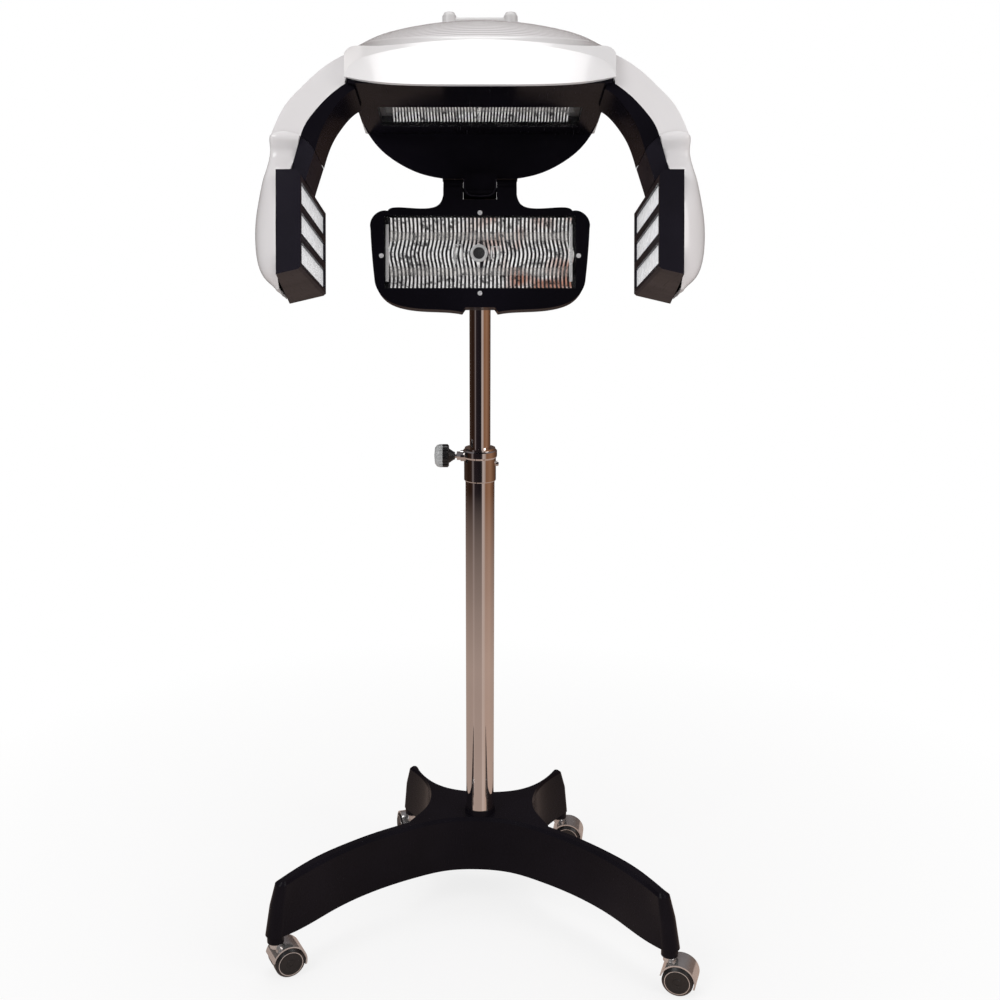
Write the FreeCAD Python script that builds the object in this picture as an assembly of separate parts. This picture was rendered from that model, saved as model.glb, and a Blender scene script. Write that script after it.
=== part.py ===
import FreeCAD, Part
import math
import os
from FreeCAD import Vector

# Hair colour processor on a rolling stand: four-legged base, telescopic post, tilting head with a
# hood lamp, a nape lamp panel and two side lamp pods. Millimetres, +Z up, the operator's client
# sits in front of the machine, towards -Y. The origin is on the floor under the post's axis.

# ---------------------------------------------------------------- driving dimensions: stand
base_top_z = 168.0            # level top of the front beam
deck_drop = 3.0               # the rear saddle's deck lies this much lower
base_rim_z = 72.0             # lower edge of the base's walls
base_waist_z = 125.0          # where the walls turn from leaning to nearly upright
base_wall = 3.0
base_flare = 4.0              # how far the walls lean out at their lower edge
base_bevel = 5.0              # height of the bevel band round the base's top
bevel_run = 6.0               # its width
hub_r = 28.0
hub_rise = 9.0
base_heading = -3.3           # the base rests turned a little under the head
front_caster = (315.0, 252.0)   # stem of a front caster: half track, distance ahead of the post
rear_caster = (141.0, 188.0)    # stem of a rear caster: half track, distance behind the post
front_end_r = 16.0            # rounded ends of the legs, at their lower edge
rear_end_r = 15.0
socket_z = (59.0, 94.0)       # caster sleeves
rib_t = 7.0                   # steel arms of the inner frame
rib_z = (104.0, 136.0)

wheel_r = 25.0
wheel_w = 18.0
wheel_gap = 9.0               # space between the two wheels of a caster
caster_trail = 17.0
fender_t = 2.5
fender_w = 40.0
tread_clear = 1.4             # wheel tread to fender
stem_r = 5.5
stem_top_z = 92.0
axle_r = 4.0
running = 0.05                # radial clearance of a running fit
caster_headings = {"front_left": 120.0, "front_right": 75.0, "rear_left": 200.0, "rear_right": 85.0}

lower_tube_r = 24.0
upper_tube_r = 17.0
tube_wall = 1.5
lower_tube_z = (92.0, 796.0)
upper_tube_z = (505.0, 1296.0)
collar_z = (766.0, 818.0)
collar_wall = 2.2
bush_flange = 3.0
socket_wall = 4.0
socket_top_z = 158.0
glide_h = 42.0
clamp_z = 807.0
clamp_screw_r = 4.0
clamp_gap = 0.35              # screw tip to the upper tube when just released
knob_r = 19.0
knob_w = 24.0
knob_x = -75.0                # outer face of the knob
knob_flutes = 20

# ---------------------------------------------------------------- driving dimensions: head
pivot_z = 1330.0              # height of the head's tilt axis on the post
head_pitch = 13.5             # the head rests with its front raised by this angle
pivot_bolt_r = 5.0
tongue_t = 22.0               # flat tongue on top of the post
bracket_t = 4.0
bracket_y = (-22.0, 28.0)

hood_half = 178.0             # half width of the hood
hood_front_y = -305.0
hood_rear_y = 80.0
cover_wall = 3.0
lip_z = -31.5                 # cover's lower lip at the middle
lip_rise = 10.5               # how much higher the lip is at its corners
seam_z = -9.0                 # cover's lower edge behind the arms
brow_rise = 79.5              # height of the sloping front band at the middle
brow_back = 75.0              # how far it slopes back
crown_z = 136.0
corner_draw = 60.0            # how far the rear corners draw in
floor_z = -28.0               # underside of the black lower shell
floor_t = 4.0
floor_inset = 5.0             # step from the cover's side to the floor's black face
bowl_inset = 8.5              # how much further in the bowl's sides stand
floor_half = hood_half - floor_inset
floor_rear_half = floor_half - bowl_inset
ledge_z = -16.0               # top of the rim that stands inside the cover's wall
shell_wall = 3.0
apron_y = -46.0               # front wall of the rear bowl
bowl_rear_y = 76.0
bowl_depth_z = -98.0
bowl_rear_scale = (0.93, 0.64)  # width and depth of the bowl's back, as shares of its front
rail_z = (-22.5, 4.0)
rail_t = 9.0

lens_half = 143.5             # visible half length of the hood and nape lenses
rail_gap = 5.5                # from the lens opening to the frame's side rails
rail_w = 7.0
rail_x = (lens_half + rail_gap, lens_half + rail_gap + rail_w)
hood_lens_y = (-188.0, -84.0)
lens_t = 3.0
lens_clear = 0.3
lens_lap = 3.0
reflector_t = 1.2
tube_lamp_r = 6.0
pod_lamp_r = 4.5

neck_half = 55.0
tongue_half = 25.0
neck_pivot = (-43.0, -111.0)    # y, z of the nape panel's hinge, in the head's frame
ear_r = 15.5
saddle_gap = 0.8
tongue_r = 14.0
side_gap = 0.5
panel_front_y = -62.0
panel_split_y = -34.0
panel_rear_y = -22.0
panel_lens_z = (-262.0, -153.0)
panel_wall = 3.0
panel_face_t = 3.5

arm_y = (-290.0, -190.0)        # front and rear faces of an arm
arm_wall = 3.0
strap_y = (-254.0, -226.0)
strap_t = 7.0
pod_pivot = (257.0, -134.0)     # x, z of a pod's hinge, in the head's frame
knuckle_r = 43.5
knuckle_gap = 0.6
pod_pin_r = 5.0
pod_y = (-340.0, -95.0)
pod_face_x = 228.3
pod_toe = 0.8                   # degrees that a pod's face turns towards the front
pod_split = (262.0, 280.0)      # where the black case meets the white cap, at its front and rear end
pod_shelf_x = 252.0             # the same above the case
pod_top_z = -150.0
pod_foot_z = -284.0
pod_wall = 3.0
cap_wall = 2.6
strip_h = 27.0
strip_pitch = 38.5
strip_mid_z = -217.0
strip_end = 9.0                 # pod's end wall to the end of a strip
vent_count = 6
vent_pitch = 11.5
vent_h = 4.0

handle_half = 48.0
handle_y = 36.0
handle_top_z = 184.0
handle_boss_r = 11.0
handle_bar_r = 6.5

inlet_x = (56.0, 84.0)
inlet_z = (-50.0, -26.0)
switch_x = (-88.0, -66.0)
switch_z = (-46.0, -28.0)

console_half = 62.0             # control panel on the back of the cover
console_z = (-6.0, 46.0)
button_r = 6.0
button_x = (22.0, 44.0)


# ---------------------------------------------------------------- drawing helpers
def on_xy(z):
    return lambda a, b: Vector(a, b, z)


def on_xz(y):
    return lambda a, b: Vector(a, y, b)


def on_yz(x):
    return lambda a, b: Vector(x, a, b)


def outline(runs, place):
    """Closed wire from runs of points: two draw a line, three an arc, more a smooth curve."""
    edges = []
    for run in runs:
        points = [place(*p) for p in run]
        if len(points) == 2:
            edges.append(Part.LineSegment(points[0], points[1]).toShape())
        elif len(points) == 3:
            edges.append(Part.Arc(*points).toShape())
        else:
            curve = Part.BSplineCurve()
            curve.interpolate(points)
            edges.append(curve.toShape())
    return Part.Wire(edges)


def slab(runs, place, reach):
    return Part.Face(outline(runs, place)).extrude(reach)


def polygon(points):
    """Runs of straight lines round a closed polygon."""
    return [[points[i], points[(i + 1) % len(points)]] for i in range(len(points))]


def box(x, y, z):
    """Box between the low and high values of each axis."""
    return Part.makeBox(x[1] - x[0], y[1] - y[0], z[1] - z[0], Vector(x[0], y[0], z[0]))


def rod(r, start, end):
    a = Vector(*start)
    b = Vector(*end)
    return Part.makeCylinder(r, (b - a).Length, a, b - a)


def ring(r_out, r_in, z0, z1):
    outer = Part.makeCylinder(r_out, z1 - z0, Vector(0, 0, z0))
    return outer.cut(Part.makeCylinder(r_in, z1 - z0 + 2, Vector(0, 0, z0 - 1)))


def turned(points):
    """Solid of revolution about Z from (radius, height) points."""
    face = Part.Face(outline(polygon(points), on_xz(0)))
    return face.revolve(Vector(0, 0, 0), Vector(0, 0, 1), 360)


def shifted(points, d):
    """The same line of 2-D points, moved to its left by d."""
    moved = []
    for i, (x, y) in enumerate(points):
        before = points[max(i - 1, 0)]
        after = points[min(i + 1, len(points) - 1)]
        tx = after[0] - before[0]
        ty = after[1] - before[1]
        size = math.hypot(tx, ty)
        moved.append((x - ty / size * d, y + tx / size * d))
    return moved


def ribbon(points, thickness):
    """Runs round a strip of even thickness that follows a line of points."""
    left = shifted(points, thickness / 2)
    right = shifted(points, -thickness / 2)[::-1]
    return [left, [left[-1], right[0]], right, [right[-1], left[0]]]


def mirrored(shape):
    return shape.mirror(Vector(0, 0, 0), Vector(1, 0, 0))


def both_sides(shape):
    return [shape, mirrored(shape)]


def flip(points):
    return [(-x, y) for x, y in points[::-1]]


def fuse(shapes):
    whole = shapes[0]
    for shape in shapes[1:]:
        whole = whole.fuse(shape)
    return whole


def cut(shape, tools):
    for tool in tools:
        shape = shape.cut(tool)
    return shape


def arc_points(centre, r, start_deg, end_deg, count=5):
    spots = []
    for i in range(count):
        a = math.radians(start_deg + (end_deg - start_deg) * i / (count - 1))
        spots.append((centre[0] + r * math.cos(a), centre[1] + r * math.sin(a)))
    return spots


def head_to_world(shape):
    """Places a shape drawn in the head's own frame at the head's rest pose."""
    placed = shape.copy()
    placed.rotate(Vector(0, 0, 0), Vector(1, 0, 0), -head_pitch)
    placed.translate(Vector(0, 0, pivot_z))
    return placed


parts = {}


def keep(node, solids):
    """Stores a node: one solid, or several separate ones."""
    if not isinstance(solids, list):
        solids = [solids]
    pieces = []
    for solid in solids:
        pieces.extend(solid.Solids)
    parts[node] = pieces[0] if len(pieces) == 1 else Part.makeCompound(pieces)


def keep_head(node, solids):
    if not isinstance(solids, list):
        solids = [solids]
    keep(node, [head_to_world(solid) for solid in solids])


# ---------------------------------------------------------------- base
def tip_arc(centre, r, heading):
    """Three points of the round end of a leg that heads this way, from its right side to its left."""
    dx, dy = heading
    x, y = centre
    return [(x + dy * r, y - dx * r), (x + dx * r, y + dy * r), (x - dy * r, y + dx * r)]


def front_beam(spread, lead_in, centre, r):
    """Outline of the front legs: one arched beam between two round ends."""
    lead = [(0, -32), (60, -41), (104, -63), (152, -95), (197, -133), (236, -176), (268, -219)]
    back = [(0, 1), (50, -3), (85, -24), (118, -49), (150, -71), (186, -99), (223, -133), (258, -171), (285, -210)]
    lead = shifted(lead, lead_in - spread)
    back = shifted(back, spread - 0.25 * lead_in)
    lead[0] = (0, lead[0][1])
    back[0] = (0, back[0][1])
    tip = tip_arc(centre, r, (0.53, -0.848))
    front = flip(lead + tip[:1])[:-1] + lead + tip[:1]
    rear = (back + tip[2:])[::-1] + [(-x, y) for x, y in (back + tip[2:])[1:]]
    return [front, tip, rear, [(-x, y) for x, y in tip[::-1]]]


def rear_saddle(spread, centre, r):
    """Outline of the rear legs, which flare from a narrow waist into two pointed ears."""
    side = shifted([(128, -60), (116, -30), (103, -2), (95, 25), (94, 56), (101, 94), (117, 131)], -spread)
    inner = shifted([(112, 137), (89, 107), (64, 89), (37, 80), (0, 76)], -spread)
    inner[-1] = (0, inner[-1][1])
    tip = tip_arc(centre, r, (0.45, 0.893))
    side = side + tip[:1]
    rear = tip[2:] + inner
    rear = rear + [(-x, y) for x, y in rear[:-1][::-1]]
    left = [(-x, y) for x, y in side[::-1]]
    start = side[0]
    bridge = [(-start[0], start[1]), (-84, -34), (-45, -18), (0, -14), (45, -18), (84, -34), start]
    return [side, tip, rear, [(-x, y) for x, y in tip[::-1]], left, bridge]


def legs(inset, z_low, z_high):
    """Moulded form of all the legs: walls that lean out downwards, and a bevel band on top."""
    fx, fy = front_caster
    rx, ry = rear_caster
    tall = z_high - base_top_z
    levels = [
        (z_low, base_flare, 0.0, (fx, -fy), front_end_r, (rx, ry), rear_end_r),
        (base_waist_z, 0.4 * base_flare, 0.0, (fx - 7, -fy), front_end_r - 2, (rx - 2, ry - 5), rear_end_r - 3),
        (base_top_z - base_bevel + tall, 0.0, 0.0, (fx - 14, 1.0 - fy), front_end_r - 5, (rx - 6, ry - 17), rear_end_r - 7),
    ]
    if not inset:
        levels.append((z_high, 0.0, bevel_run, (fx - 16, 2.0 - fy), front_end_r - 9.5, (rx - 7, ry - 20), rear_end_r - 10.5))
    fronts = []
    rears = []
    for z, flare, lead_in, front_tip, front_r, rear_tip, rear_r in levels:
        fronts.append(outline(front_beam(flare - inset, lead_in, front_tip, front_r - inset), on_xy(z)))
        drop = deck_drop if z > base_waist_z else 0.0
        rears.append(outline(rear_saddle(flare - inset - lead_in * 0.4, rear_tip, rear_r - inset), on_xy(z - drop)))
    return Part.makeLoft(fronts, True, True).fuse(Part.makeLoft(rears, True, True))


stems = {
    "front_left": (-front_caster[0], -front_caster[1]),
    "front_right": (front_caster[0], -front_caster[1]),
    "rear_left": (-rear_caster[0], rear_caster[1]),
    "rear_right": (rear_caster[0], rear_caster[1]),
}
sleeve_r = stem_r + 3.0


def base_frame():
    """Welded steel frame under the moulding: centre socket, four bent arms, caster sleeves."""
    front_line = [(24, -14), (62, -24), (98, -45), (140, -75), (180, -107), (220, -147), (255, -187), (287, -223),
                  (front_caster[0], -front_caster[1])]
    rear_line = [(16, 22), (50, 56), (82, 88), (107, 124), (125, 154), (rear_caster[0], rear_caster[1])]
    arms = []
    for line in (front_line, rear_line):
        arm = slab(ribbon(line, rib_t), on_xy(rib_z[0]), Vector(0, 0, rib_z[1] - rib_z[0]))
        arms.extend(both_sides(arm))
    sleeves = []
    for x, y in stems.values():
        sleeves.append(Part.makeCylinder(sleeve_r, rib_z[0] + 6 - socket_z[0], Vector(x, y, socket_z[0])))
    socket = turned([(0, 84), (lower_tube_r + socket_wall, 84), (lower_tube_r + socket_wall, socket_top_z), (0, socket_top_z)])
    frame = fuse([socket] + arms + sleeves)
    bores = [Part.makeCylinder(lower_tube_r, 100, Vector(0, 0, lower_tube_z[0]))]
    for x, y in stems.values():
        bores.append(Part.makeCylinder(stem_r + running, 60, Vector(x, y, socket_z[0] - 10)))
    return cut(frame, bores)


def base_shell(frame):
    shell = legs(0, base_rim_z, base_top_z).cut(legs(base_wall, base_rim_z - 4, base_top_z - base_wall))
    hub = turned([(0, base_top_z - 8), (hub_r, base_top_z - 8), (hub_r - 2.5, base_top_z + hub_rise), (0, base_top_z + hub_rise)])
    bosses = []
    for x, y in stems.values():
        bosses.append(Part.makeCylinder(13.6, base_rim_z + 3 - socket_z[0], Vector(x, y, socket_z[0])))
    shell = fuse([shell, hub] + bosses)
    bores = [Part.makeCylinder(lower_tube_r + 0.3, 120, Vector(0, 0, 80))]
    for x, y in stems.values():
        bores.append(Part.makeCylinder(stem_r + 1.5, 30, Vector(x, y, socket_z[0] - 1)))
    return cut(shell, [frame] + bores)


def turn_base(shape):
    """Turns a piece of the base from the base's own frame to its rest heading."""
    turned_shape = shape.copy()
    turned_shape.rotate(Vector(0, 0, 0), Vector(0, 0, 1), base_heading)
    return turned_shape


frame_solid = base_frame()
keep("base_frame", turn_base(frame_solid))
keep("base_shell", turn_base(base_shell(frame_solid)))


# ---------------------------------------------------------------- casters
def caster(name):
    """Twin-wheel caster: chromed fender with its stem, and two wheels on one axle."""
    x, y = stems[name]
    reach = fender_w / 2
    fender_r = wheel_r + tread_clear + fender_t
    side = Vector(1, 0, 0)

    def barrel(r, half, at_x=0.0):
        return Part.makeCylinder(r, 2 * half, Vector(at_x - half, -caster_trail, wheel_r), side)

    shell = barrel(fender_r, reach).cut(barrel(wheel_r + tread_clear, reach + 1))
    web = barrel(wheel_r + tread_clear + 0.5, (wheel_gap - 2.4) / 2)
    crown = Part.makeCylinder(sleeve_r + 1.5, 8, Vector(0, 0, 49.5))
    body = fuse([shell, web, crown])
    keep_out = [
        box((-40, 40), (-80, 80), (-5, wheel_r - 9)),
        box((-40, 40), (-caster_trail + 8, 80), (-5, wheel_r + 6)),
        barrel(axle_r + running, 10),
        barrel(wheel_r + tread_clear, 20, at_x=(wheel_gap - 2.4) / 2 + 20),
        barrel(wheel_r + tread_clear, 20, at_x=-(wheel_gap - 2.4) / 2 - 20),
    ]
    body = cut(body, keep_out)
    stem = Part.makeCylinder(stem_r, stem_top_z - 55, Vector(0, 0, 55))
    fender = fuse([body, stem])
    half_gap = wheel_gap / 2
    wheels = []
    for sign in (-1, 1):
        rim = turned([(axle_r, half_gap), (wheel_r - 3, half_gap), (wheel_r, half_gap + 3),
                      (wheel_r, half_gap + wheel_w - 3.5), (wheel_r - 3.5, half_gap + wheel_w),
                      (wheel_r - 7, half_gap + wheel_w), (wheel_r - 8.5, half_gap + wheel_w - 1.6),
                      (8.0, half_gap + wheel_w - 1.6), (6.5, half_gap + wheel_w + 0.6), (axle_r, half_gap + wheel_w + 0.6)])
        rim.rotate(Vector(0, 0, 0), Vector(0, 1, 0), 90 * sign)
        rim.translate(Vector(0, -caster_trail, wheel_r))
        wheels.append(rim)
    axle = barrel(axle_r, half_gap + wheel_w)
    solids = []
    for solid in [fender] + wheels + [axle]:
        solid.rotate(Vector(0, 0, 0), Vector(0, 0, 1), caster_headings[name])
        solid.translate(Vector(x, y, 0))
        solids.append(solid)
    keep("caster_fender_" + name, turn_base(solids[0]))
    keep("caster_wheels_" + name, [turn_base(solid) for solid in solids[1:]])


for caster_name in stems:
    caster(caster_name)


# ---------------------------------------------------------------- post
bush_r = upper_tube_r + running
lower_bore_r = lower_tube_r - tube_wall
collar_r = lower_tube_r + collar_wall
boss_x = (-38.0, -collar_r + 0.6)

keep("lower_tube", ring(lower_tube_r, lower_bore_r, lower_tube_z[0], lower_tube_z[1]))
keep("upper_tube", ring(upper_tube_r, upper_tube_r - tube_wall, upper_tube_z[0], upper_tube_z[1]))


def collar():
    """Chromed collar at the top of the lower tube, with a boss for the clamp screw."""
    low, high = collar_z
    sleeve = turned([(lower_tube_r, low), (collar_r - 1, low), (collar_r, low + 1.5), (collar_r, high - 14),
                     (collar_r + 1.8, high - 11), (collar_r + 1.8, high - 2), (collar_r, high), (lower_tube_r, high)])
    boss = rod(9.0, (boss_x[0] + 6, 0, clamp_z), (-lower_tube_r, 0, clamp_z))
    boss = boss.cut(Part.makeCylinder(lower_tube_r, 60, Vector(0, 0, low - 1)))
    hole = rod(clamp_screw_r + 0.5, (-60, 0, clamp_z), (0, 0, clamp_z))
    pinch = rod(2.6, (0, 0, high - 24), (40, 0, high - 24))
    return cut(sleeve.fuse(boss), [hole, pinch])


def collar_bush():
    """Nylon bush that guides the upper tube in the top of the lower one."""
    low, high = collar_z
    liner = ring(lower_bore_r, bush_r, low - 12, lower_tube_z[1])
    flange = ring(lower_tube_r, bush_r, lower_tube_z[1], high + bush_flange)
    rim = ring(lower_tube_r + 1.0, bush_r, high, high + bush_flange)
    hole = rod(clamp_screw_r + 0.6, (-60, 0, clamp_z), (0, 0, clamp_z))
    return cut(fuse([liner, flange, rim]), [hole])


def collar_hardware():
    """Pinch screw on the right and hexagon nut of the clamp on the left."""
    high = collar_z[1] - 24
    shank = rod(2.6, (lower_tube_r, 0, high), (collar_r + 4.5, 0, high))
    dome = rod(4.2, (collar_r, 0, high), (collar_r + 4.0, 0, high))
    corner = 7.4
    hexagon = [(corner * math.cos(math.radians(60 * i)), clamp_z + corner * math.sin(math.radians(60 * i))) for i in range(6)]
    nut = slab(polygon(hexagon), on_yz(boss_x[0]), Vector(6.0, 0, 0))
    nut = nut.cut(rod(clamp_screw_r + running, (boss_x[0] - 1, 0, clamp_z), (-20, 0, clamp_z)))
    return [shank.fuse(dome), nut]


def clamp_screw():
    tip_x = -upper_tube_r - clamp_gap
    return rod(clamp_screw_r, (knob_x + 6, 0, clamp_z), (tip_x, 0, clamp_z))


def clamp_knob():
    """Ribbed knob with a domed face and a conical neck, turned about the clamp screw."""
    grip = turned([(0, 0), (knob_r - 6, 1.2), (knob_r - 1.5, 4.5), (knob_r, 9), (knob_r, knob_w - 2), (knob_r - 2, knob_w), (0, knob_w)])
    flutes = []
    for i in range(knob_flutes):
        a = 2 * math.pi * i / knob_flutes
        flute = box((knob_r - 1.2, knob_r + 2), (-1.3, 1.3), (-1, knob_w + 1))
        flute.rotate(Vector(0, 0, 0), Vector(0, 0, 1), math.degrees(a))
        flutes.append(flute)
    grip = cut(grip, flutes)
    neck = turned([(0, knob_w - 1), (knob_r - 6, knob_w - 1), (7.0, knob_w + 7.5), (6.2, knob_w + 10), (0, knob_w + 10)])
    knob = grip.fuse(neck)
    knob = knob.cut(Part.makeCylinder(clamp_screw_r + running, knob_w + 20, Vector(0, 0, 6 - running)))
    knob.rotate(Vector(0, 0, 0), Vector(0, 1, 0), 90)
    knob.translate(Vector(knob_x, 0, clamp_z))
    return knob


def mast_glide():
    """Guide at the foot of the upper tube: slides in the lower tube, lets the upper one turn."""
    z = upper_tube_z[0]
    sleeve = ring(lower_bore_r - running, upper_tube_r + running, z, z + glide_h)
    seat = ring(lower_bore_r - running, 10.0 + running, z - 6.0, z - 0.3)
    return sleeve.fuse(ring(lower_bore_r - running, upper_tube_r + running, z - 1, z + 1)).fuse(seat)


def mast_plug():
    """Steel plug in the foot of the upper tube, whose flange holds the guide on."""
    z = upper_tube_z[0]
    return turned([(0, z + 22), (upper_tube_r - tube_wall, z + 22), (upper_tube_r - tube_wall, z), (10.0, z),
                   (10.0, z - 6.4), (16.0, z - 6.4), (16.0, z - 10.0), (0, z - 10.0)])


def tilt_block():
    """Turned head of the post with a flat tongue that carries the tilt bolt."""
    z = upper_tube_z[1]
    spigot = Part.makeCylinder(upper_tube_r - tube_wall, 42, Vector(0, 0, z - 40))
    collar_part = Part.makeCylinder(upper_tube_r, pivot_z - 18 - z, Vector(0, 0, z))
    tongue = Part.makeBox(tongue_t, 2 * upper_tube_r, pivot_z - z, Vector(-tongue_t / 2, -upper_tube_r, z))
    eye = rod(upper_tube_r, (-tongue_t / 2, 0, pivot_z), (tongue_t / 2, 0, pivot_z))
    trimmed = fuse([tongue, eye]).common(Part.makeCylinder(60, 200, Vector(0, 0, z)))
    flat = Part.makeCylinder(upper_tube_r, pivot_z + 30 - z, Vector(0, 0, z))
    body = fuse([spigot, collar_part, trimmed.common(flat.fuse(eye))])
    return body.cut(rod(pivot_bolt_r + running, (-40, 0, pivot_z), (40, 0, pivot_z)))


keep("tube_collar", collar())
keep("collar_bush", collar_bush())
keep("collar_hardware", collar_hardware())
keep("clamp_screw", clamp_screw())
keep("clamp_knob", clamp_knob())
keep("mast_glide", mast_glide())
keep("mast_plug", mast_plug())
keep("tilt_block", tilt_block())


# ---------------------------------------------------------------- head: frame and tilt joint
def tilt_bracket():
    """U-shaped steel bracket: two cheeks that straddle the post's tongue, joined by a bridge."""
    y0, y1 = bracket_y
    bend = arc_points((0, 0), upper_tube_r, 240, 320)
    low = [(y0, -14), bend[0]]
    cheek_runs = [low, bend, [bend[-1], (y1, -1)], [(y1, -1), (y1, 25)], [(y1, 25), (y0, 25)], [(y0, 25), (y0, -14)]]
    inner = tongue_t / 2 + 0.3
    cheeks = []
    for x in (inner, -inner - bracket_t):
        cheeks.append(slab(cheek_runs, on_yz(x), Vector(bracket_t, 0, 0)))
    bridge = box((-inner - bracket_t, inner + bracket_t), (y0, y1), (21, 25))
    body = fuse(cheeks + [bridge])
    return body.cut(rod(pivot_bolt_r, (-40, 0, 0), (40, 0, 0)))


def tilt_hardware():
    """Tilt bolt with its head, spring washers and lock nut."""
    edge = tongue_t / 2 + 0.3 + bracket_t
    bolt = rod(pivot_bolt_r, (-edge - 10, 0, 0), (edge + 1, 0, 0))
    corner = 9.2
    hexagon = [(corner * math.cos(math.radians(60 * i)), corner * math.sin(math.radians(60 * i))) for i in range(6)]
    cap = slab(polygon(hexagon), on_yz(edge), Vector(6.0, 0, 0))
    nut = slab(polygon(hexagon), on_yz(-edge - 8.5), Vector(7.0, 0, 0))
    nut = nut.cut(rod(pivot_bolt_r, (-60, 0, 0), (60, 0, 0)))
    washer = rod(10.0, (-edge - 1.5, 0, 0), (-edge, 0, 0)).cut(rod(pivot_bolt_r, (-60, 0, 0), (60, 0, 0)))
    return [bolt.fuse(cap), nut, washer]


def head_frame():
    """Ladder frame of folded steel inside the hood: two side rails and three cross rails."""
    x0, x1 = rail_x
    z0, z1 = rail_z
    y0, y1 = bracket_y
    rails = both_sides(box((x0, x1), (-262, y0), rail_z))
    crosses = [
        box((-x0, x0), (hood_lens_y[0] - 9 - rail_t, hood_lens_y[0] - 9), (z0, z1 - 6)),
        box((-x0, x0), (y0 - rail_t, y0), (-18, z1)),
        box((-46, 46), (y1, y1 + rail_t), (-18, z1)),
    ]
    struts = both_sides(box((36, 46), (y0 - 1, y1 + 1), (-18, -6)))
    pads = both_sides(box((x1, hood_half - cover_wall), (strap_y[0] - 1, strap_y[1] + 1), (-12, 0)))
    frame = fuse(rails + crosses + pads + struts)
    pockets = both_sides(box((x0 + 2.0, x1 - 2.0), (-258, y0 - rail_t - 3), (z0 + 3, z1 + 1)))
    return cut(frame, pockets)


keep_head("tilt_bracket", tilt_bracket())
keep_head("tilt_hardware", tilt_hardware())
head_frame_solid = head_frame()
keep_head("head_frame", head_frame_solid)


# ---------------------------------------------------------------- hood
def cover_rear(t, inset):
    """Rear wall of the cover at a share of its half width."""
    return hood_rear_y - corner_draw * t ** 4 - inset


def cover_section(x, inset):
    """Side view of the cover at one station across its width."""
    t = min(abs(x) / hood_half, 1.0)
    full = 1.0 - t * t
    base = lip_z + lip_rise * t ** 4
    brow = max(full, 0.0) ** 0.6
    y_lip = hood_front_y + inset
    y_brow = hood_front_y + 1.5 + (brow_back - 1.5) * full + inset
    z_brow = base + 2.0 + (brow_rise - 2.0) * brow - inset * 0.9
    wall_rise = 6.0 + 23.0 * t ** 6
    y_edge = y_brow + 1.0 + 4.0 * full
    z_edge = z_brow + wall_rise
    fall = 1.0 - 0.27 * t ** 2 - 0.16 * t ** 10
    rear = cover_rear(t, inset)
    deck = [(y_edge, z_edge)]
    depth = hood_rear_y - hood_front_y
    for along, draw, share in ((0.351, 0.03, 0.68), (0.532, 0.03, 0.912), (0.727, 0.03, 1.0), (0.896, 0.12, 0.9)):
        deck.append((hood_front_y + depth * (along - draw * t ** 4), crown_z * share * fall - inset))
    rear_top = (rear, crown_z * 0.56 * fall - inset * 0.5)
    deck.append(rear_top)
    low = lip_z - 6 if inset else base
    rear_low = low if inset else -22.0
    return [
        [(y_lip, low), (y_brow, z_brow)],
        [(y_brow, z_brow), (y_edge, z_edge)],
        deck,
        [rear_top, (rear, rear_low)],
        [(rear, rear_low), (y_lip, low)],
    ]


def cover_form(inset):
    wires = []
    for share in (-1.0, -0.945, -0.83, -0.645, -0.35, 0.0, 0.35, 0.645, 0.83, 0.945, 1.0):
        wires.append(outline(cover_section(share * hood_half, inset), on_yz(share * (hood_half - inset))))
    return Part.makeLoft(wires, True, False)


def console_pocket():
    return box((-console_half, console_half), (hood_rear_y - 12, hood_rear_y + 8), console_z)


cover_outer = cover_form(0)
cover_inner = cover_form(cover_wall)
arm_window = both_sides(box((hood_half - 8, hood_half + 4), (strap_y[0] - 2, strap_y[1] + 2), (-13, 1)))


def hood_cover():
    cover = cover_outer.cut(cover_inner)
    step = box((-hood_half - 9, hood_half + 9), (arm_y[1], hood_rear_y + 9), (lip_z - 20, seam_z))
    return cut(cover, [console_pocket(), step] + arm_window)


def rear_handle():
    """Push handle behind the crown: two round-topped posts and a bar."""
    r = handle_boss_r
    solids = []
    for sign in (-1, 1):
        post = turned([(0, 96), (r + 1.5, 96), (r + 1.5, 120), (r, 128), (r, handle_top_z - 7), (r - 3, handle_top_z - 1.5),
                       (r - 7, handle_top_z), (0, handle_top_z)])
        post.translate(Vector(sign * handle_half, handle_y, 0))
        solids.append(post)
    bar_z = handle_top_z - 15
    bar = rod(handle_bar_r, (-handle_half, handle_y, bar_z), (handle_half, handle_y, bar_z))
    return fuse(solids + [bar]).cut(cover_inner)


bowl_line = [(186, 10), (178.5, -7), (172, -20.5), (161.6, -37), (151.6, -49), (134, -64), (112, -77.5), (90, -87),
             (52, -95), (0, bowl_depth_z)]


def bowl_form(inset, y0, y1, top):
    """Deep rear bowl of the lower shell, which rises and narrows towards the back."""
    def section(scale_x, scale_z, y):
        right = [((x - inset) * scale_x if x else 0.0, (z + inset) * scale_z) for x, z in bowl_line]
        line = right + [(-x, z) for x, z in right[:-1][::-1]]
        return outline([line, [line[-1], (line[-1][0], top)], [(line[-1][0], top), (line[0][0], top)],
                        [(line[0][0], top), line[0]]], on_xz(y))
    share_x, share_z = bowl_rear_scale
    return Part.makeLoft([section(1.0, 1.0, y0), section(share_x, share_z, y1)], True, True)


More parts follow.
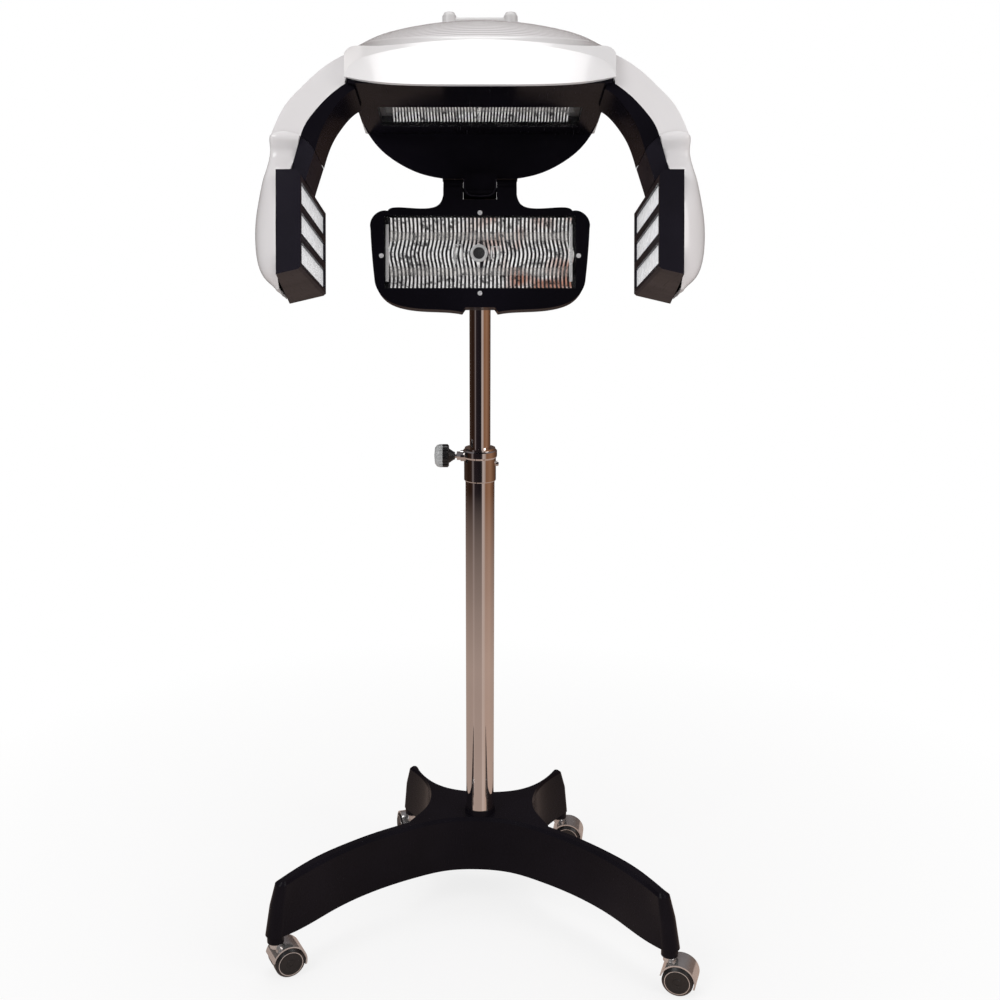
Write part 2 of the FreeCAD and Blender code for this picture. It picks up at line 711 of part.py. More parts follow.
def hood_tongue():
    """Tongue under the bowl that carries the nape panel's hinge pin."""
    y, z = neck_pivot
    half = tongue_half
    block = box((-half, half), (y - tongue_r, y + tongue_r), (z, -88))
    tongue = block.fuse(rod(tongue_r, (-half, y, z), (half, y, z)))
    dish = box((-half + 6, half - 6), (y - tongue_r - 1, y - tongue_r + 2.5), (z - 3, -84))
    return tongue.cut(dish)


def neck_saddle(solid):
    """Round seat in the bowl's lower edge over the nape panel's ears, or the space inside it."""
    y, z = neck_pivot
    r = ear_r + (saddle_gap + shell_wall if solid else saddle_gap)
    seat = rod(r, (-neck_half - 1.5, y, z), (neck_half + 1.5, y, z))
    if not solid:
        return seat
    return seat.common(box((-neck_half - 9, neck_half + 9), (y - 3, y + 40), (-96, -70)))


def bowl_column(inset):
    """Column under the cover's own plan, from the bowl's depth up to the seam."""
    w = hood_half - inset
    y0 = apron_y + inset
    shares = (1.0, 0.97, 0.93, 0.88, 0.81, 0.72, 0.6, 0.4, 0.0)
    curve = [(share * w, cover_rear(share, inset)) for share in shares]
    curve = curve + [(-x, y) for x, y in curve[:-1][::-1]]
    low = bowl_depth_z - 20
    return slab(polygon([(-w, y0), (w, y0)] + curve), on_xy(low), Vector(0, 0, seam_z - low))


def side_skirt():
    """Wall of the lower shell between the arm and the bowl, from the floor's edge up to the seam."""
    wires = []
    for y, foot in ((arm_y[1], floor_half - 0.5), (-115, floor_half - 3.2), (apron_y + shell_wall, floor_rear_half)):
        points = [(foot, floor_z), (hood_half, seam_z), (hood_half - shell_wall, seam_z), (foot - shell_wall - 1, floor_z)]
        wires.append(outline(polygon(points), on_xz(y)))
    return Part.makeLoft(wires, True, True)


def floor_plan(inset):
    """Plan of the floor: straight beside the arms, drawn in towards the bowl."""
    w = floor_half - inset
    rear = floor_rear_half - inset
    lead = hood_front_y + cover_wall + inset * 0.5
    side = [(w, -205), (w - 3.2, -115), (rear, apron_y)]
    return [[(-w, lead), (w, lead)], [(w, lead), side[0]], side, [side[-1], (-rear, apron_y)],
            [(-x, y) for x, y in side[::-1]], [(-w, side[0][1]), (-w, lead)]]


def hood_shell():
    """Black lower shell: a floor with the lamp window in front, and the deep bowl behind."""
    floor = slab(floor_plan(0), on_xy(floor_z), Vector(0, 0, floor_t)).common(cover_inner)
    rim = slab(floor_plan(-4.4), on_xy(floor_z + floor_t - 1), Vector(0, 0, ledge_z - floor_z - floor_t + 1))
    rim = rim.cut(slab(floor_plan(3.0), on_xy(floor_z), Vector(0, 0, 40)))
    rim = rim.common(cover_inner).common(box((-hood_half, hood_half), (hood_front_y, arm_y[1] + 1), (floor_z, 0)))
    bowl = bowl_form(0, apron_y, bowl_rear_y, 24.0).common(bowl_column(0))
    inside = bowl_form(shell_wall, apron_y + shell_wall, bowl_rear_y - shell_wall, 40.0)
    bowl = bowl.cut(inside.common(bowl_column(shell_wall)))
    bowl = fuse([bowl, neck_saddle(True)]).cut(neck_saddle(False))
    body = fuse([floor, rim] + both_sides(side_skirt()) + [bowl, hood_tongue()])
    y0, y1 = hood_lens_y
    window = box((-lens_half, lens_half), (y0, y1), (floor_z - 1, 0))
    tube_slot = box((-upper_tube_r - 6, upper_tube_r + 6), (-24, 67), (bowl_depth_z - 30, -46))
    pin = rod(3.0, (-neck_half, neck_pivot[0], neck_pivot[1]), (neck_half, neck_pivot[0], neck_pivot[1]))
    y = bowl_rear_y
    inlet = box(inlet_x, (y - 17, y + 10), inlet_z)
    switch = box(switch_x, (y - 10, y + 10), switch_z)
    rails = both_sides(box(rail_x, (hood_front_y, bracket_y[0]), rail_z))
    return cut(body, [window, tube_slot, pin, head_frame_solid, inlet, switch, cover_solid] + rails)


handle_solid = rear_handle()
cover_solid = hood_cover().cut(handle_solid)
shell_solid = hood_shell()
keep_head("hood_cover", cover_solid)
keep_head("rear_handle", handle_solid)
keep_head("hood_shell", shell_solid)


def ribbon_straight(points, thickness):
    """Runs round a folded sheet: straight between its points."""
    left = shifted(points, thickness / 2)
    right = shifted(points, -thickness / 2)[::-1]
    return polygon(left + right)


def hood_lamp():
    """Lens, reflector and two tube lamps in the hood's floor."""
    y0, y1 = hood_lens_y
    mid = (y0 + y1) / 2
    seat = floor_z + floor_t
    lens = box((-lens_half - lens_lap, lens_half + lens_lap), (y0 - lens_lap, y1 + lens_lap), (seat, seat + lens_t))
    plug = box((-lens_half + lens_clear, lens_half - lens_clear), (y0 + lens_clear, y1 - lens_clear), (floor_z + 0.8, seat))
    lens = lens.fuse(plug)
    half = (y1 - y0) / 2 - 1
    z = seat + lens_t + reflector_t / 2
    sheet = [(mid - half, z), (mid - half * 0.8, z + 26), (mid - half * 0.45, z + 32), (mid - 6, z + 22), (mid + 6, z + 22),
             (mid + half * 0.45, z + 32), (mid + half * 0.8, z + 26), (mid + half, z)]
    reach = 2 * (lens_half - 1.5)
    reflector = slab(ribbon_straight(sheet, reflector_t), on_yz(-reach / 2), Vector(reach, 0, 0))
    lamps = []
    for sign in (-1, 1):
        y = mid + sign * half * 0.5
        lamps.append(tube_lamp((-lens_half + 6, y, z + 14), (lens_half - 6, y, z + 14)))
    return lens, reflector, lamps


def tube_lamp(start, end, r=tube_lamp_r):
    """Quartz tube with a ceramic cap at each end."""
    a = Vector(*start)
    b = Vector(*end)
    along = (b - a)
    along.normalize()
    tube = rod(r, start, end)
    caps = []
    for at in (a, b - along * 13):
        caps.append(Part.makeCylinder(r + 1.8, 13, at, along))
    return fuse([tube] + caps)


hood_lens, hood_reflector, hood_lamps = hood_lamp()
keep_head("hood_lens", hood_lens)
keep_head("hood_reflector", hood_reflector)
keep_head("hood_lamps", hood_lamps)


def control_board():
    """Circuit board behind the console, and the transformer on the rear cross rail."""
    board = box((-52, 52), (hood_rear_y - 20, hood_rear_y - 18.4), (-2, 42))
    core = box((70, 116), (bracket_y[0], bracket_y[0] + 38), (rail_z[1] - 22, rail_z[1] + 22))
    winding = box((78, 108), (bracket_y[0] + 4, bracket_y[0] + 46), (rail_z[1] - 12, rail_z[1] + 12))
    return [board, fuse([core, winding])]


def console():
    """Plain control panel set in the cover's back: a dark window over the display and key holes."""
    y0 = hood_rear_y - 5.0
    plate = box((-console_half, console_half), (y0, hood_rear_y + 1.0), console_z)
    plate = plate.makeChamfer(1.0, [e for e in plate.Edges if e.BoundBox.YMin > hood_rear_y + 0.5])
    mid = (console_z[0] + console_z[1]) / 2
    holes = [rod(button_r + 0.35, (x, y0 - 1, mid), (x, y0 + 20, mid)) for x in button_x]
    recess = box((-console_half + 8, 4), (hood_rear_y, hood_rear_y + 4), (console_z[0] + 9, console_z[1] - 9))
    return cut(plate, holes + [recess])


keep_head("control_board", control_board())
keep_head("console_panel", console())
for i, x in enumerate(button_x):
    mid_z = (console_z[0] + console_z[1]) / 2
    cap = rod(button_r, (x, hood_rear_y - 8.0, mid_z), (x, hood_rear_y + 3.2, mid_z))
    skirt = rod(button_r + 1.5, (x, hood_rear_y - 8.0, mid_z), (x, hood_rear_y - 5.8, mid_z))
    keep_head("console_button_%d" % (i + 1), cap.fuse(skirt))


def mains_inlet():
    """Appliance inlet in the bowl's back with its three pins, and the bezel of the power switch."""
    y = bowl_rear_y
    x0, x1 = inlet_x
    z0, z1 = inlet_z
    shroud = box((x0, x1), (y - 16, y + 1.0), (z0, z1))
    shroud = shroud.cut(box((x0 + 2.5, x1 - 2.5), (y - 14, y + 2), (z0 + 2.5, z1 - 2.5)))
    pins = []
    for dx, dz in ((7.5, 9.0), (20.5, 9.0), (14.0, 15.5)):
        pins.append(box((x0 + dx - 1, x0 + dx + 1), (y - 14, y - 7.5), (z0 + dz - 2, z0 + dz + 2)))
    bezel = box(switch_x, (y - 9, y + 1.0), switch_z)
    bezel = bezel.cut(box((switch_x[0] + 2, switch_x[1] - 2), (y - 8, y + 2), (switch_z[0] + 2, switch_z[1] - 2)))
    return [fuse([shroud] + pins), bezel]


def switch_rocker():
    """Rocker of the power switch, which tips about an axis across the bezel."""
    y = bowl_rear_y
    mid = (switch_z[0] + switch_z[1]) / 2
    reach = 5.4
    face = polygon([(y - 6.0, mid - reach + 1.5), (y + 1.4, mid - reach), (y + 0.2, mid), (y + 2.8, mid + reach),
                    (y - 6.0, mid + reach - 1.5)])
    body = slab(face, on_yz(switch_x[0] + 2.4), Vector(switch_x[1] - switch_x[0] - 4.8, 0, 0))
    return body


keep_head("mains_inlet", mains_inlet())
keep_head("switch_rocker", switch_rocker())


# ---------------------------------------------------------------- nape lamp panel
panel_side = [(neck_half, -98), (neck_half, -122), (61, -136), (76, -142), (138, -146)]
panel_corner = [(138, -146), (154, -149), (163, -160), (164, -172)]
panel_flank = [(164, -172), (162, -206), (158, -248)]
panel_cavity_z = -146.5
panel_shoulder = [(138, panel_cavity_z), (153, -150.5), (162, -161), (163.8, -173)]
panel_foot = [(158, -248), (152, -266), (138, -280), (118, -288), (76, -293), (27, -297)]


def panel_outline(inset, with_neck):
    """Half outline from the neck down to the post notch, mirrored to close it."""
    runs = [panel_side, panel_corner, panel_flank, panel_foot]
    if not with_neck:
        runs = [[(0, panel_cavity_z), (138, panel_cavity_z)], panel_shoulder, [panel_shoulder[-1]] + panel_flank[1:],
                panel_foot]
    runs = [shifted_run(run, inset) for run in runs]
    right = runs + [[(runs[-1][-1]), (22 - 0.3 * inset, -290 + inset)]]
    left = [[(-x, z) for x, z in run[::-1]] for run in right[::-1]]
    bottom = [right[-1][-1], left[0][0]]
    top = [left[-1][-1], right[0][0]]
    loops = right + [bottom] + left
    if abs(top[0][0] - top[1][0]) > 1e-6:
        loops.append(top)
    return loops


def shifted_run(run, inset):
    """Pulls a run towards the panel's middle by the inset."""
    moved = []
    for x, z in run:
        nx = x - inset if x > 20 else x
        nz = z
        if z > -150:
            nz = z - inset
        if z < -262:
            nz = z + inset
        moved.append((nx, nz))
    return moved


def panel_frame():
    """Front frame of the nape panel with its neck, ears and lens window."""
    body = slab(panel_outline(0, True), on_xz(panel_front_y), Vector(0, panel_split_y - panel_front_y, 0))
    y, z = neck_pivot
    gap_half = tongue_half + side_gap
    ear = rod(ear_r, (gap_half, y, z), (neck_half, y, z))
    root = box((gap_half, neck_half), (panel_front_y, y + ear_r), (-146, z))
    ears = both_sides(ear.fuse(root))
    body = body.cut(box((-neck_half - 1, neck_half + 1), (panel_front_y - 1, panel_split_y + 1), (z, -90)))
    body = body.cut(box((-gap_half, gap_half), (panel_front_y - 1, panel_split_y + 1), (z - tongue_r - 4, -90)))
    body = fuse([body] + ears)
    cavity = slab(panel_outline(panel_wall, False), on_xz(panel_front_y + panel_face_t), Vector(0, 40, 0))
    window = box((-lens_half, lens_half), (panel_front_y - 1, panel_front_y + 10), panel_lens_z)
    pin_hole = rod(3.0 + running, (-80, y, z), (80, y, z))
    return cut(body, [cavity, window, pin_hole])


def panel_back():
    """Rear cover of the nape panel, a shallow tray with a bevelled rim."""
    y0 = panel_split_y
    outer = slab(panel_outline(0.0, False), on_xz(y0), Vector(0, 5.0, 0))
    raised = slab(panel_outline(9.0, False), on_xz(y0), Vector(0, panel_rear_y - y0, 0))
    hollow = slab(panel_outline(12.0, False), on_xz(y0 - 1), Vector(0, panel_rear_y - y0 - 2, 0))
    return outer.fuse(raised).cut(hollow)


def panel_lamp():
    z0, z1 = panel_lens_z
    y = panel_front_y + panel_face_t
    lens = box((-lens_half - lens_lap, lens_half + lens_lap), (y, y + lens_t), (z0 - lens_lap, z1 + lens_lap))
    plug = box((-lens_half + lens_clear, lens_half - lens_clear), (panel_front_y + 1.2, y), (z0 + lens_clear, z1 - lens_clear))
    lens = lens.fuse(plug)
    front = y + lens_t + reflector_t / 2
    mid = (z0 + z1) / 2
    half = (z1 - z0) / 2 - 1.5
    depth = 20.0
    sheet = [(front, mid + half), (front + depth * 0.85, mid + half * 0.84), (front + depth, mid + half * 0.5),
             (front + depth * 0.85, mid + half * 0.16), (front + depth * 0.55, mid),
             (front + depth * 0.85, mid - half * 0.16), (front + depth, mid - half * 0.5),
             (front + depth * 0.85, mid - half * 0.84), (front, mid - half)]
    reach = 2 * (lens_half - 2.0)
    reflector = slab(ribbon_straight(sheet, reflector_t), on_yz(-reach / 2), Vector(reach, 0, 0))
    lamps = []
    for sign in (-1, 1):
        z = mid + sign * half * 0.5
        lamps.append(tube_lamp((-lens_half + 8, front + 9.5, z), (lens_half - 8, front + 9.5, z)))
    return lens, reflector, lamps


keep_head("nape_frame", panel_frame())
keep_head("nape_back", panel_back())
panel_lens, panel_reflector, panel_lamps = panel_lamp()
keep_head("nape_lens", panel_lens)
keep_head("nape_reflector", panel_reflector)
keep_head("nape_lamps", panel_lamps)
keep_head("nape_pin", rod(3.0, (-neck_half, neck_pivot[0], neck_pivot[1]), (neck_half, neck_pivot[0], neck_pivot[1])))


# ---------------------------------------------------------------- arms and pods (drawn on the right)
arm_outer_line = [(178.4, 12), (211, -8), (237, -32), (257, -54), (268, -74), (276.2, -94.4)]
arm_seam_line = [(169.5, -21), (198, -41), (219, -63), (231, -80), (236.8, -95)]
arm_inner_line = [(165, -33), (180, -43.5), (192, -57.5), (204, -76), (212, -95), (217.5, -114)]


def knuckle_arc(r, first, last, count=5):
    """Points on the knuckle's circle from the angle of one point to that of another."""
    px, pz = pod_pivot
    a = math.degrees(math.atan2(first[1] - pz, first[0] - px))
    b = math.degrees(math.atan2(last[1] - pz, last[0] - px))
    return arc_points(pod_pivot, r, a, b, count)


def arm_shells():
    """White outer and black inner shell of an arm, and the steel strap inside."""
    r = knuckle_r + knuckle_gap
    y0, y1 = arm_y
    depth = Vector(0, y1 - y0, 0)
    top_arc = knuckle_arc(r, arm_outer_line[-1], arm_seam_line[-1])
    low_arc = knuckle_arc(r, arm_seam_line[-1], arm_inner_line[-1])
    outer_line = arm_outer_line[:-1] + [top_arc[0]]
    seam_line = arm_seam_line[:-1] + [top_arc[-1]]
    inner_line = arm_inner_line[:-1] + [low_arc[-1]]
    white = slab([outer_line, top_arc, seam_line[::-1], [seam_line[0], outer_line[0]]], on_xz(y0), depth)
    black = slab([seam_line, low_arc, inner_line[::-1], [inner_line[0], seam_line[0]]], on_xz(y0), depth)
    hollow_out = shifted(outer_line, -arm_wall)
    hollow_in = shifted(inner_line, arm_wall)
    hollow_out = [(hollow_out[0][0] - 12, hollow_out[0][1] + 5)] + hollow_out + [(hollow_out[-1][0] + 1, hollow_out[-1][1] - 24)]
    hollow_in = [(hollow_in[0][0] - 12, hollow_in[0][1] + 8)] + hollow_in + [(hollow_in[-1][0] + 4, hollow_in[-1][1] - 20)]
    hollow_runs = [hollow_out, [hollow_out[-1], hollow_in[-1]], hollow_in[::-1], [hollow_in[0], hollow_out[0]]]
    hollow = slab(hollow_runs, on_xz(y0 + arm_wall), Vector(0, y1 - y0 - 2 * arm_wall, 0))
    return white.cut(hollow), black.cut(hollow)


def arm_strap():
    """Steel strap from the hood's frame to the pod's hinge pin."""
    px, pz = pod_pivot
    line = [(hood_half - cover_wall + 0.0, -6), (196, -19), (218, -44), (234, -72), (246, -100), (px, pz)]
    body = slab(ribbon(line, strap_t), on_xz(strap_y[0]), Vector(0, strap_y[1] - strap_y[0], 0))
    body = body.common(box((hood_half - cover_wall, 400), (-400, 0), (-400, 100)))
    eye = rod(11.0, (px, strap_y[0], pz), (px, strap_y[1], pz))
    bolt_pad = box((hood_half - cover_wall, hood_half + 6), (strap_y[0], strap_y[1]), (-11, -1))
    return fuse([body, eye, bolt_pad]).cut(rod(pod_pin_r + running, (px, -400, pz), (px, 0, pz)))


def toed(solid):
    """Turns a piece of the lamp case in plan, so that its face looks a little to the front."""
    turned_solid = solid.copy()
    turned_solid.rotate(Vector(pod_face_x, (pod_y[0] + pod_y[1]) / 2, 0), Vector(0, 0, 1), pod_toe)
    return turned_solid


def case_side(top):
    """Everything on the case's side of the slanting split between case and cap, up to a height."""
    y0, y1 = pod_y
    slope = (pod_split[1] - pod_split[0]) / (y1 - y0)
    ends = [(pod_split[0] + slope * (y - y0), y) for y in (y0 - 30, y1 + 30)]
    low = pod_foot_z - 50
    return slab(polygon([(0, y0 - 30), ends[0], ends[1], (0, y1 + 30)]), on_xy(low), Vector(0, 0, top - low))


def pod_case():
    """Black lamp case with the knuckle on its top."""
    y0, y1 = pod_y
    xf, xb = pod_face_x, pod_shelf_x
    zt, zb = pod_top_z, pod_foot_z
    deep = pod_split[1] + 14
    shape = polygon([(xf + 5, zt), (xf, zt - 7), (xf, zb + 9.5), (xf + 3.5, zb + 6.5), (deep, zb - 8), (deep, zt)])
    case = slab(shape, on_xz(y0), Vector(0, y1 - y0, 0))
    inside = (xf + pod_wall, xb)
    cavity = box(inside, (y0 + pod_wall, y1 - pod_wall), (zb + 12, zt - 4))
    windows = []
    for z in strip_heights():
        windows.append(box((xf - 1, xf + pod_wall + 1), (y0 + strip_end, y1 - strip_end), (z - strip_h / 2, z + strip_h / 2)))
    case = toed(cut(case, [cavity] + windows)).common(case_side(0))
    arc = knuckle_arc(knuckle_r, arm_seam_line[-1], arm_inner_line[-1])
    top = [(xf - 0.4, zt + 5), (xf + 2, zt - 3), (xb, zt - 3), (248, pod_pivot[1])]
    knuckle_runs = [arc, [arc[-1], top[0]], [top[0], top[1]], [top[1], top[2]], [top[2], top[3]], [top[3], arc[0]]]
    knuckle = slab(knuckle_runs, on_xz(arm_y[0]), Vector(0, arm_y[1] - arm_y[0], 0))
    return cut(case.fuse(knuckle), [strap_slot(), pod_pin(), cap_solid])


def strip_heights():
    return [strip_mid_z + i * strip_pitch for i in (-1, 0, 1)]


def pod_pin():
    px, pz = pod_pivot
    return rod(pod_pin_r, (px, arm_y[0] + 4, pz), (px, arm_y[1] - 4, pz))


def strap_slot():
    """Wedge cleared in the knuckle for the strap at every pod angle."""
    px, pz = pod_pivot
    side = 0.8
    wedge = [(px, pz - 16)]
    reach = 58
    low, high = 72.0, 135.0
    for a in (low, 90.0, 108.0, high):
        wedge.append((px + reach * math.cos(math.radians(a)), pz + reach * math.sin(math.radians(a))))
    fan = slab(polygon([(px + 13, pz - 6)] + wedge[1:] + [(px - 13, pz + 2), (px - 12, pz - 10), (px, pz - 13), (px + 10, pz - 11)]),
               on_xz(strap_y[0] - side), Vector(0, strap_y[1] - strap_y[0] + 2 * side, 0))
    eye = rod(12.5, (px, strap_y[0] - side, pz), (px, strap_y[1] + side, pz))
    return fan.fuse(eye)


cap_sections = [                # height, front and rear, outer reach, squareness of the corners
    (-84, -290, -190, 275.0, 0.97),
    (-112, -290, -190, 279.0, 0.97),
    (-132, -294, -186, 282.5, 0.95),
    (-146, -306, -164, 285.5, 0.90),
    (-158, -320, -128, 288.5, 0.84),
    (-178, -333, -101, 292.5, 0.80),
    (-205, -338, -96, 297.0, 0.78),
    (-236, -338, -96, 298.0, 0.78),
    (-262, -334, -101, 294.5, 0.80),
    (-282, -320, -116, 285.0, 0.84),
    (-296, -298, -138, 271.0, 0.88),
]


def cap_form(inset):
    """Crowned outer cap lofted through its level outlines, and cut to the knuckle's circle on top."""
    wires = []
    for z, front, rear, out, square in cap_sections:
        y0 = front + inset
        y1 = rear - inset
        x1 = out - inset
        x0 = pod_face_x - 6
        mid = (y0 + y1) / 2
        half = (y1 - y0) / 2
        bulge = [(x0 + (x1 - x0) * 0.62, y0 + 0.5), (x0 + (x1 - x0) * 0.91, mid - half * square), (x1 - 0.4, mid - half * 0.42),
                 (x1, mid)]
        bulge = bulge + [(x, 2 * mid - y) for x, y in bulge[:-1][::-1]]
        bulge = [(x0, y0)] + bulge + [(x0, y1)]
        place = on_xy(z + (inset if z == cap_sections[-1][0] else 0.0))
        wires.append(outline([bulge, [(x0, y1), (x0, y0)]], place))
    body = Part.makeLoft(wires, True, False)
    back_x = pod_shelf_x
    px, pz = pod_pivot
    arc = knuckle_arc(knuckle_r - inset, arm_seam_line[-1], (px + 60, pz - 4))
    front = [arc, [arc[-1], (360, pz - 4)], [(360, pz - 4), (360, -330)], [(360, -330), (back_x, -330)],
             [(back_x, -330), (back_x, pod_top_z - 3)], [(back_x, pod_top_z - 3), (248, pz)], [(248, pz), arc[0]]]
    body = body.common(slab(front, on_xz(pod_y[0] - 5), Vector(0, pod_y[1] - pod_y[0] + 10, 0)))
    return body.cut(case_side(pod_top_z - 3))


def pod_cap():
    cap = cap_form(0)
    hollow = cap_form(cap_wall)
    band = box((pod_shelf_x, 320), (pod_y[0], pod_y[1]), (-300, pod_top_z - 6))
    cap = cap.cut(hollow.common(band))
    vents = []
    mid_y = (arm_y[0] + arm_y[1]) / 2 - 20
    for i in range(vent_count):
        z = -194 - vent_pitch * i
        vents.append(box((283, 310), (mid_y - 34, mid_y + 34), (z - vent_h / 2, z + vent_h / 2)))
    return cut(cap, vents + [strap_slot(), pod_pin()])


def pod_lamp():
    y0, y1 = pod_y
    xf = pod_face_x + pod_wall
    lenses = []
    lamps = []
    for z in strip_heights():
        lenses.append(box((xf, xf + 3), (y0 + strip_end - 3, y1 - strip_end + 3), (z - strip_h / 2 - 2.5, z + strip_h / 2 + 2.5)))
        lamps.append(tube_lamp((xf + 10.5, y0 + 13, z), (xf + 10.5, y1 - 13, z), pod_lamp_r))
    sheet = []
    front = xf + 4.0
    deep = xf + 19.0
    for z in strip_heights():
        half = strip_pitch / 2 - 4
        sheet += [(front, z - half), (deep - 2, z - half * 0.6), (deep, z), (deep - 2, z + half * 0.6), (front, z + half)]
    reach = y1 - y0 - 18
    reflector = slab(ribbon_straight(sheet, reflector_t), on_xz(y0 + 9), Vector(0, reach, 0))
    return [toed(lens) for lens in lenses], toed(reflector), [toed(lamp) for lamp in lamps]


arm_white, arm_black = arm_shells()
arm_white = arm_white.cut(box((0, hood_half), (-400, 0), (-60, 60)))
arm_black = max(cut(arm_black, [cover_outer, shell_solid]).Solids, key=lambda piece: piece.Volume)
strap = arm_strap()
cap_solid = pod_cap()
lenses, reflector, lamps = pod_lamp()
right_nodes = {
    "arm_cover": arm_white,
    "arm_liner": arm_black,
    "arm_strap": strap,
    "pod_cap": cap_solid,
    "pod_case": pod_case(),
    "pod_pin": pod_pin(),
    "pod_lenses": lenses,
    "pod_reflector": reflector,
    "pod_lamps": lamps,
}
for node, solids in right_nodes.items():
    solids = solids if isinstance(solids, list) else [solids]
    keep_head(node + "_right", solids)
    keep_head(node + "_left", [mirrored(solid) for solid in solids])


# ---------------------------------------------------------------- export
os.makedirs("parts", exist_ok=True)
for node, shape in parts.items():
    shape.exportStep("parts/%s.step" % node)
print("nodes", len(parts))
for node, shape in parts.items():
    if not shape.isValid() or shape.Volume <= 0:
        print("CHECK", node, shape.isValid(), round(shape.Volume))
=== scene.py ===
import math

import bpy
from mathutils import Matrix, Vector


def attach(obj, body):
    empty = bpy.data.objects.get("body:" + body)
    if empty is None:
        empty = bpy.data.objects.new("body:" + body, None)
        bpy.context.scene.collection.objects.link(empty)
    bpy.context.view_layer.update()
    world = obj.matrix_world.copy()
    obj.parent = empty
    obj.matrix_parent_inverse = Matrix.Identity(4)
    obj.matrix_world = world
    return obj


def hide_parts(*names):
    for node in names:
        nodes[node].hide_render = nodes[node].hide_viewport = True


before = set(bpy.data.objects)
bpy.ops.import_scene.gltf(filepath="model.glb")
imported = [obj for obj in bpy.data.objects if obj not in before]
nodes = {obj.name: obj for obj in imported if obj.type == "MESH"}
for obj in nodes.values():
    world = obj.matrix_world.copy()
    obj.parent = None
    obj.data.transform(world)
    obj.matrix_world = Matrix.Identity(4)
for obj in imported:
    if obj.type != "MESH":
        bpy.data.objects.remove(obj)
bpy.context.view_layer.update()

HEAD_PITCH = math.radians(13.5)
HEAD_PIVOT = (0.0, 0.0, 1.330)
MM = 0.001

CAMERA_PLACE = (0.0, -2.084, 1.267)
CAMERA_PITCH = math.radians(90 - 14.4)
CAMERA_LENS = 46.8
SENSOR_WIDTH = 36.0
CAMERA_SHIFT = 0.02
FLOOR_RADIUS = 6.0

PANEL_FRONT_TURN = (math.radians(90), 0.0, 0.0)
PANEL_BACK_TURN = (math.radians(-90), 0.0, 0.0)
SHEET_HALF = 138.0
FLUTE_HEIGHT = 1.5
SHEET_THICKNESS = 0.6

VENT_COUNT = 6
VENT_TOP = -194.0
VENT_PITCH = 11.5

AXLE_HEIGHT = 25.0
WHEEL_TRAIL = 17.0
WHEEL_FACE = 22.0


# ------------------------------------------------------------ camera, room and lights
bpy.context.scene.view_settings.view_transform = "Standard"


def place_camera():
    bpy.ops.object.camera_add(location=CAMERA_PLACE, rotation=(CAMERA_PITCH, 0.0, 0.0))
    camera = bpy.context.object
    camera.name = "photo_camera"
    camera.data.lens = CAMERA_LENS
    camera.data.sensor_width = SENSOR_WIDTH
    camera.data.shift_x = CAMERA_SHIFT
    bpy.context.scene.camera = camera


def softbox(name, place, aim, size, watts, colour=(1.0, 1.0, 1.0), mirrored=True):
    bpy.ops.object.light_add(type="AREA", location=place)
    lamp = bpy.context.object
    lamp.name = name
    lamp.data.shape = "RECTANGLE"
    lamp.data.size, lamp.data.size_y = size
    lamp.data.energy = watts
    lamp.data.color = colour
    lamp.rotation_euler = (Vector(aim) - Vector(place)).to_track_quat("-Z", "Y").to_euler()
    lamp.visible_glossy = mirrored


def room_tones():
    """Group: the tone that a polished surface meets in each direction of the room, by compass angle."""
    group = bpy.data.node_groups.new("room_tones", "ShaderNodeTree")
    group.interface.new_socket(name="Vector", in_out="INPUT", socket_type="NodeSocketVector")
    group.interface.new_socket(name="Color", in_out="OUTPUT", socket_type="NodeSocketColor")
    source = group.nodes.new("NodeGroupInput")
    sink = group.nodes.new("NodeGroupOutput")
    wheel = group.nodes.new("ShaderNodeTexGradient")
    wheel.gradient_type = "RADIAL"
    walls = group.nodes.new("ShaderNodeValToRGB")
    walls.color_ramp.interpolation = "LINEAR"
    stops = [(0.0, (0.022, 0.010, 0.006)), (0.075, (0.03, 0.016, 0.012)), (0.105, (0.20, 0.17, 0.17)),
             (0.135, (0.018, 0.012, 0.014)), (0.255, (0.010, 0.008, 0.010)), (0.285, (0.03, 0.022, 0.022)),
             (0.305, (0.52, 0.44, 0.41)), (0.345, (0.42, 0.33, 0.29)), (0.375, (0.24, 0.115, 0.06)),
             (0.47, (0.30, 0.16, 0.095)), (0.56, (0.16, 0.075, 0.04)), (0.66, (0.07, 0.04, 0.03)),
             (0.75, (0.09, 0.06, 0.05)), (0.86, (0.05, 0.03, 0.022)), (1.0, (0.022, 0.010, 0.006))]
    ramp = walls.color_ramp
    ramp.elements[0].position = stops[0][0]
    ramp.elements[0].color = stops[0][1] + (1.0,)
    ramp.elements[1].position = stops[-1][0]
    ramp.elements[1].color = stops[-1][1] + (1.0,)
    for position, colour in stops[1:-1]:
        ramp.elements.new(position).color = colour + (1.0,)
    link = group.links.new
    link(source.outputs["Vector"], wheel.inputs["Vector"])
    link(wheel.outputs["Fac"], walls.inputs["Fac"])
    link(walls.outputs["Color"], sink.inputs["Color"])
    return group


ROOM = room_tones()


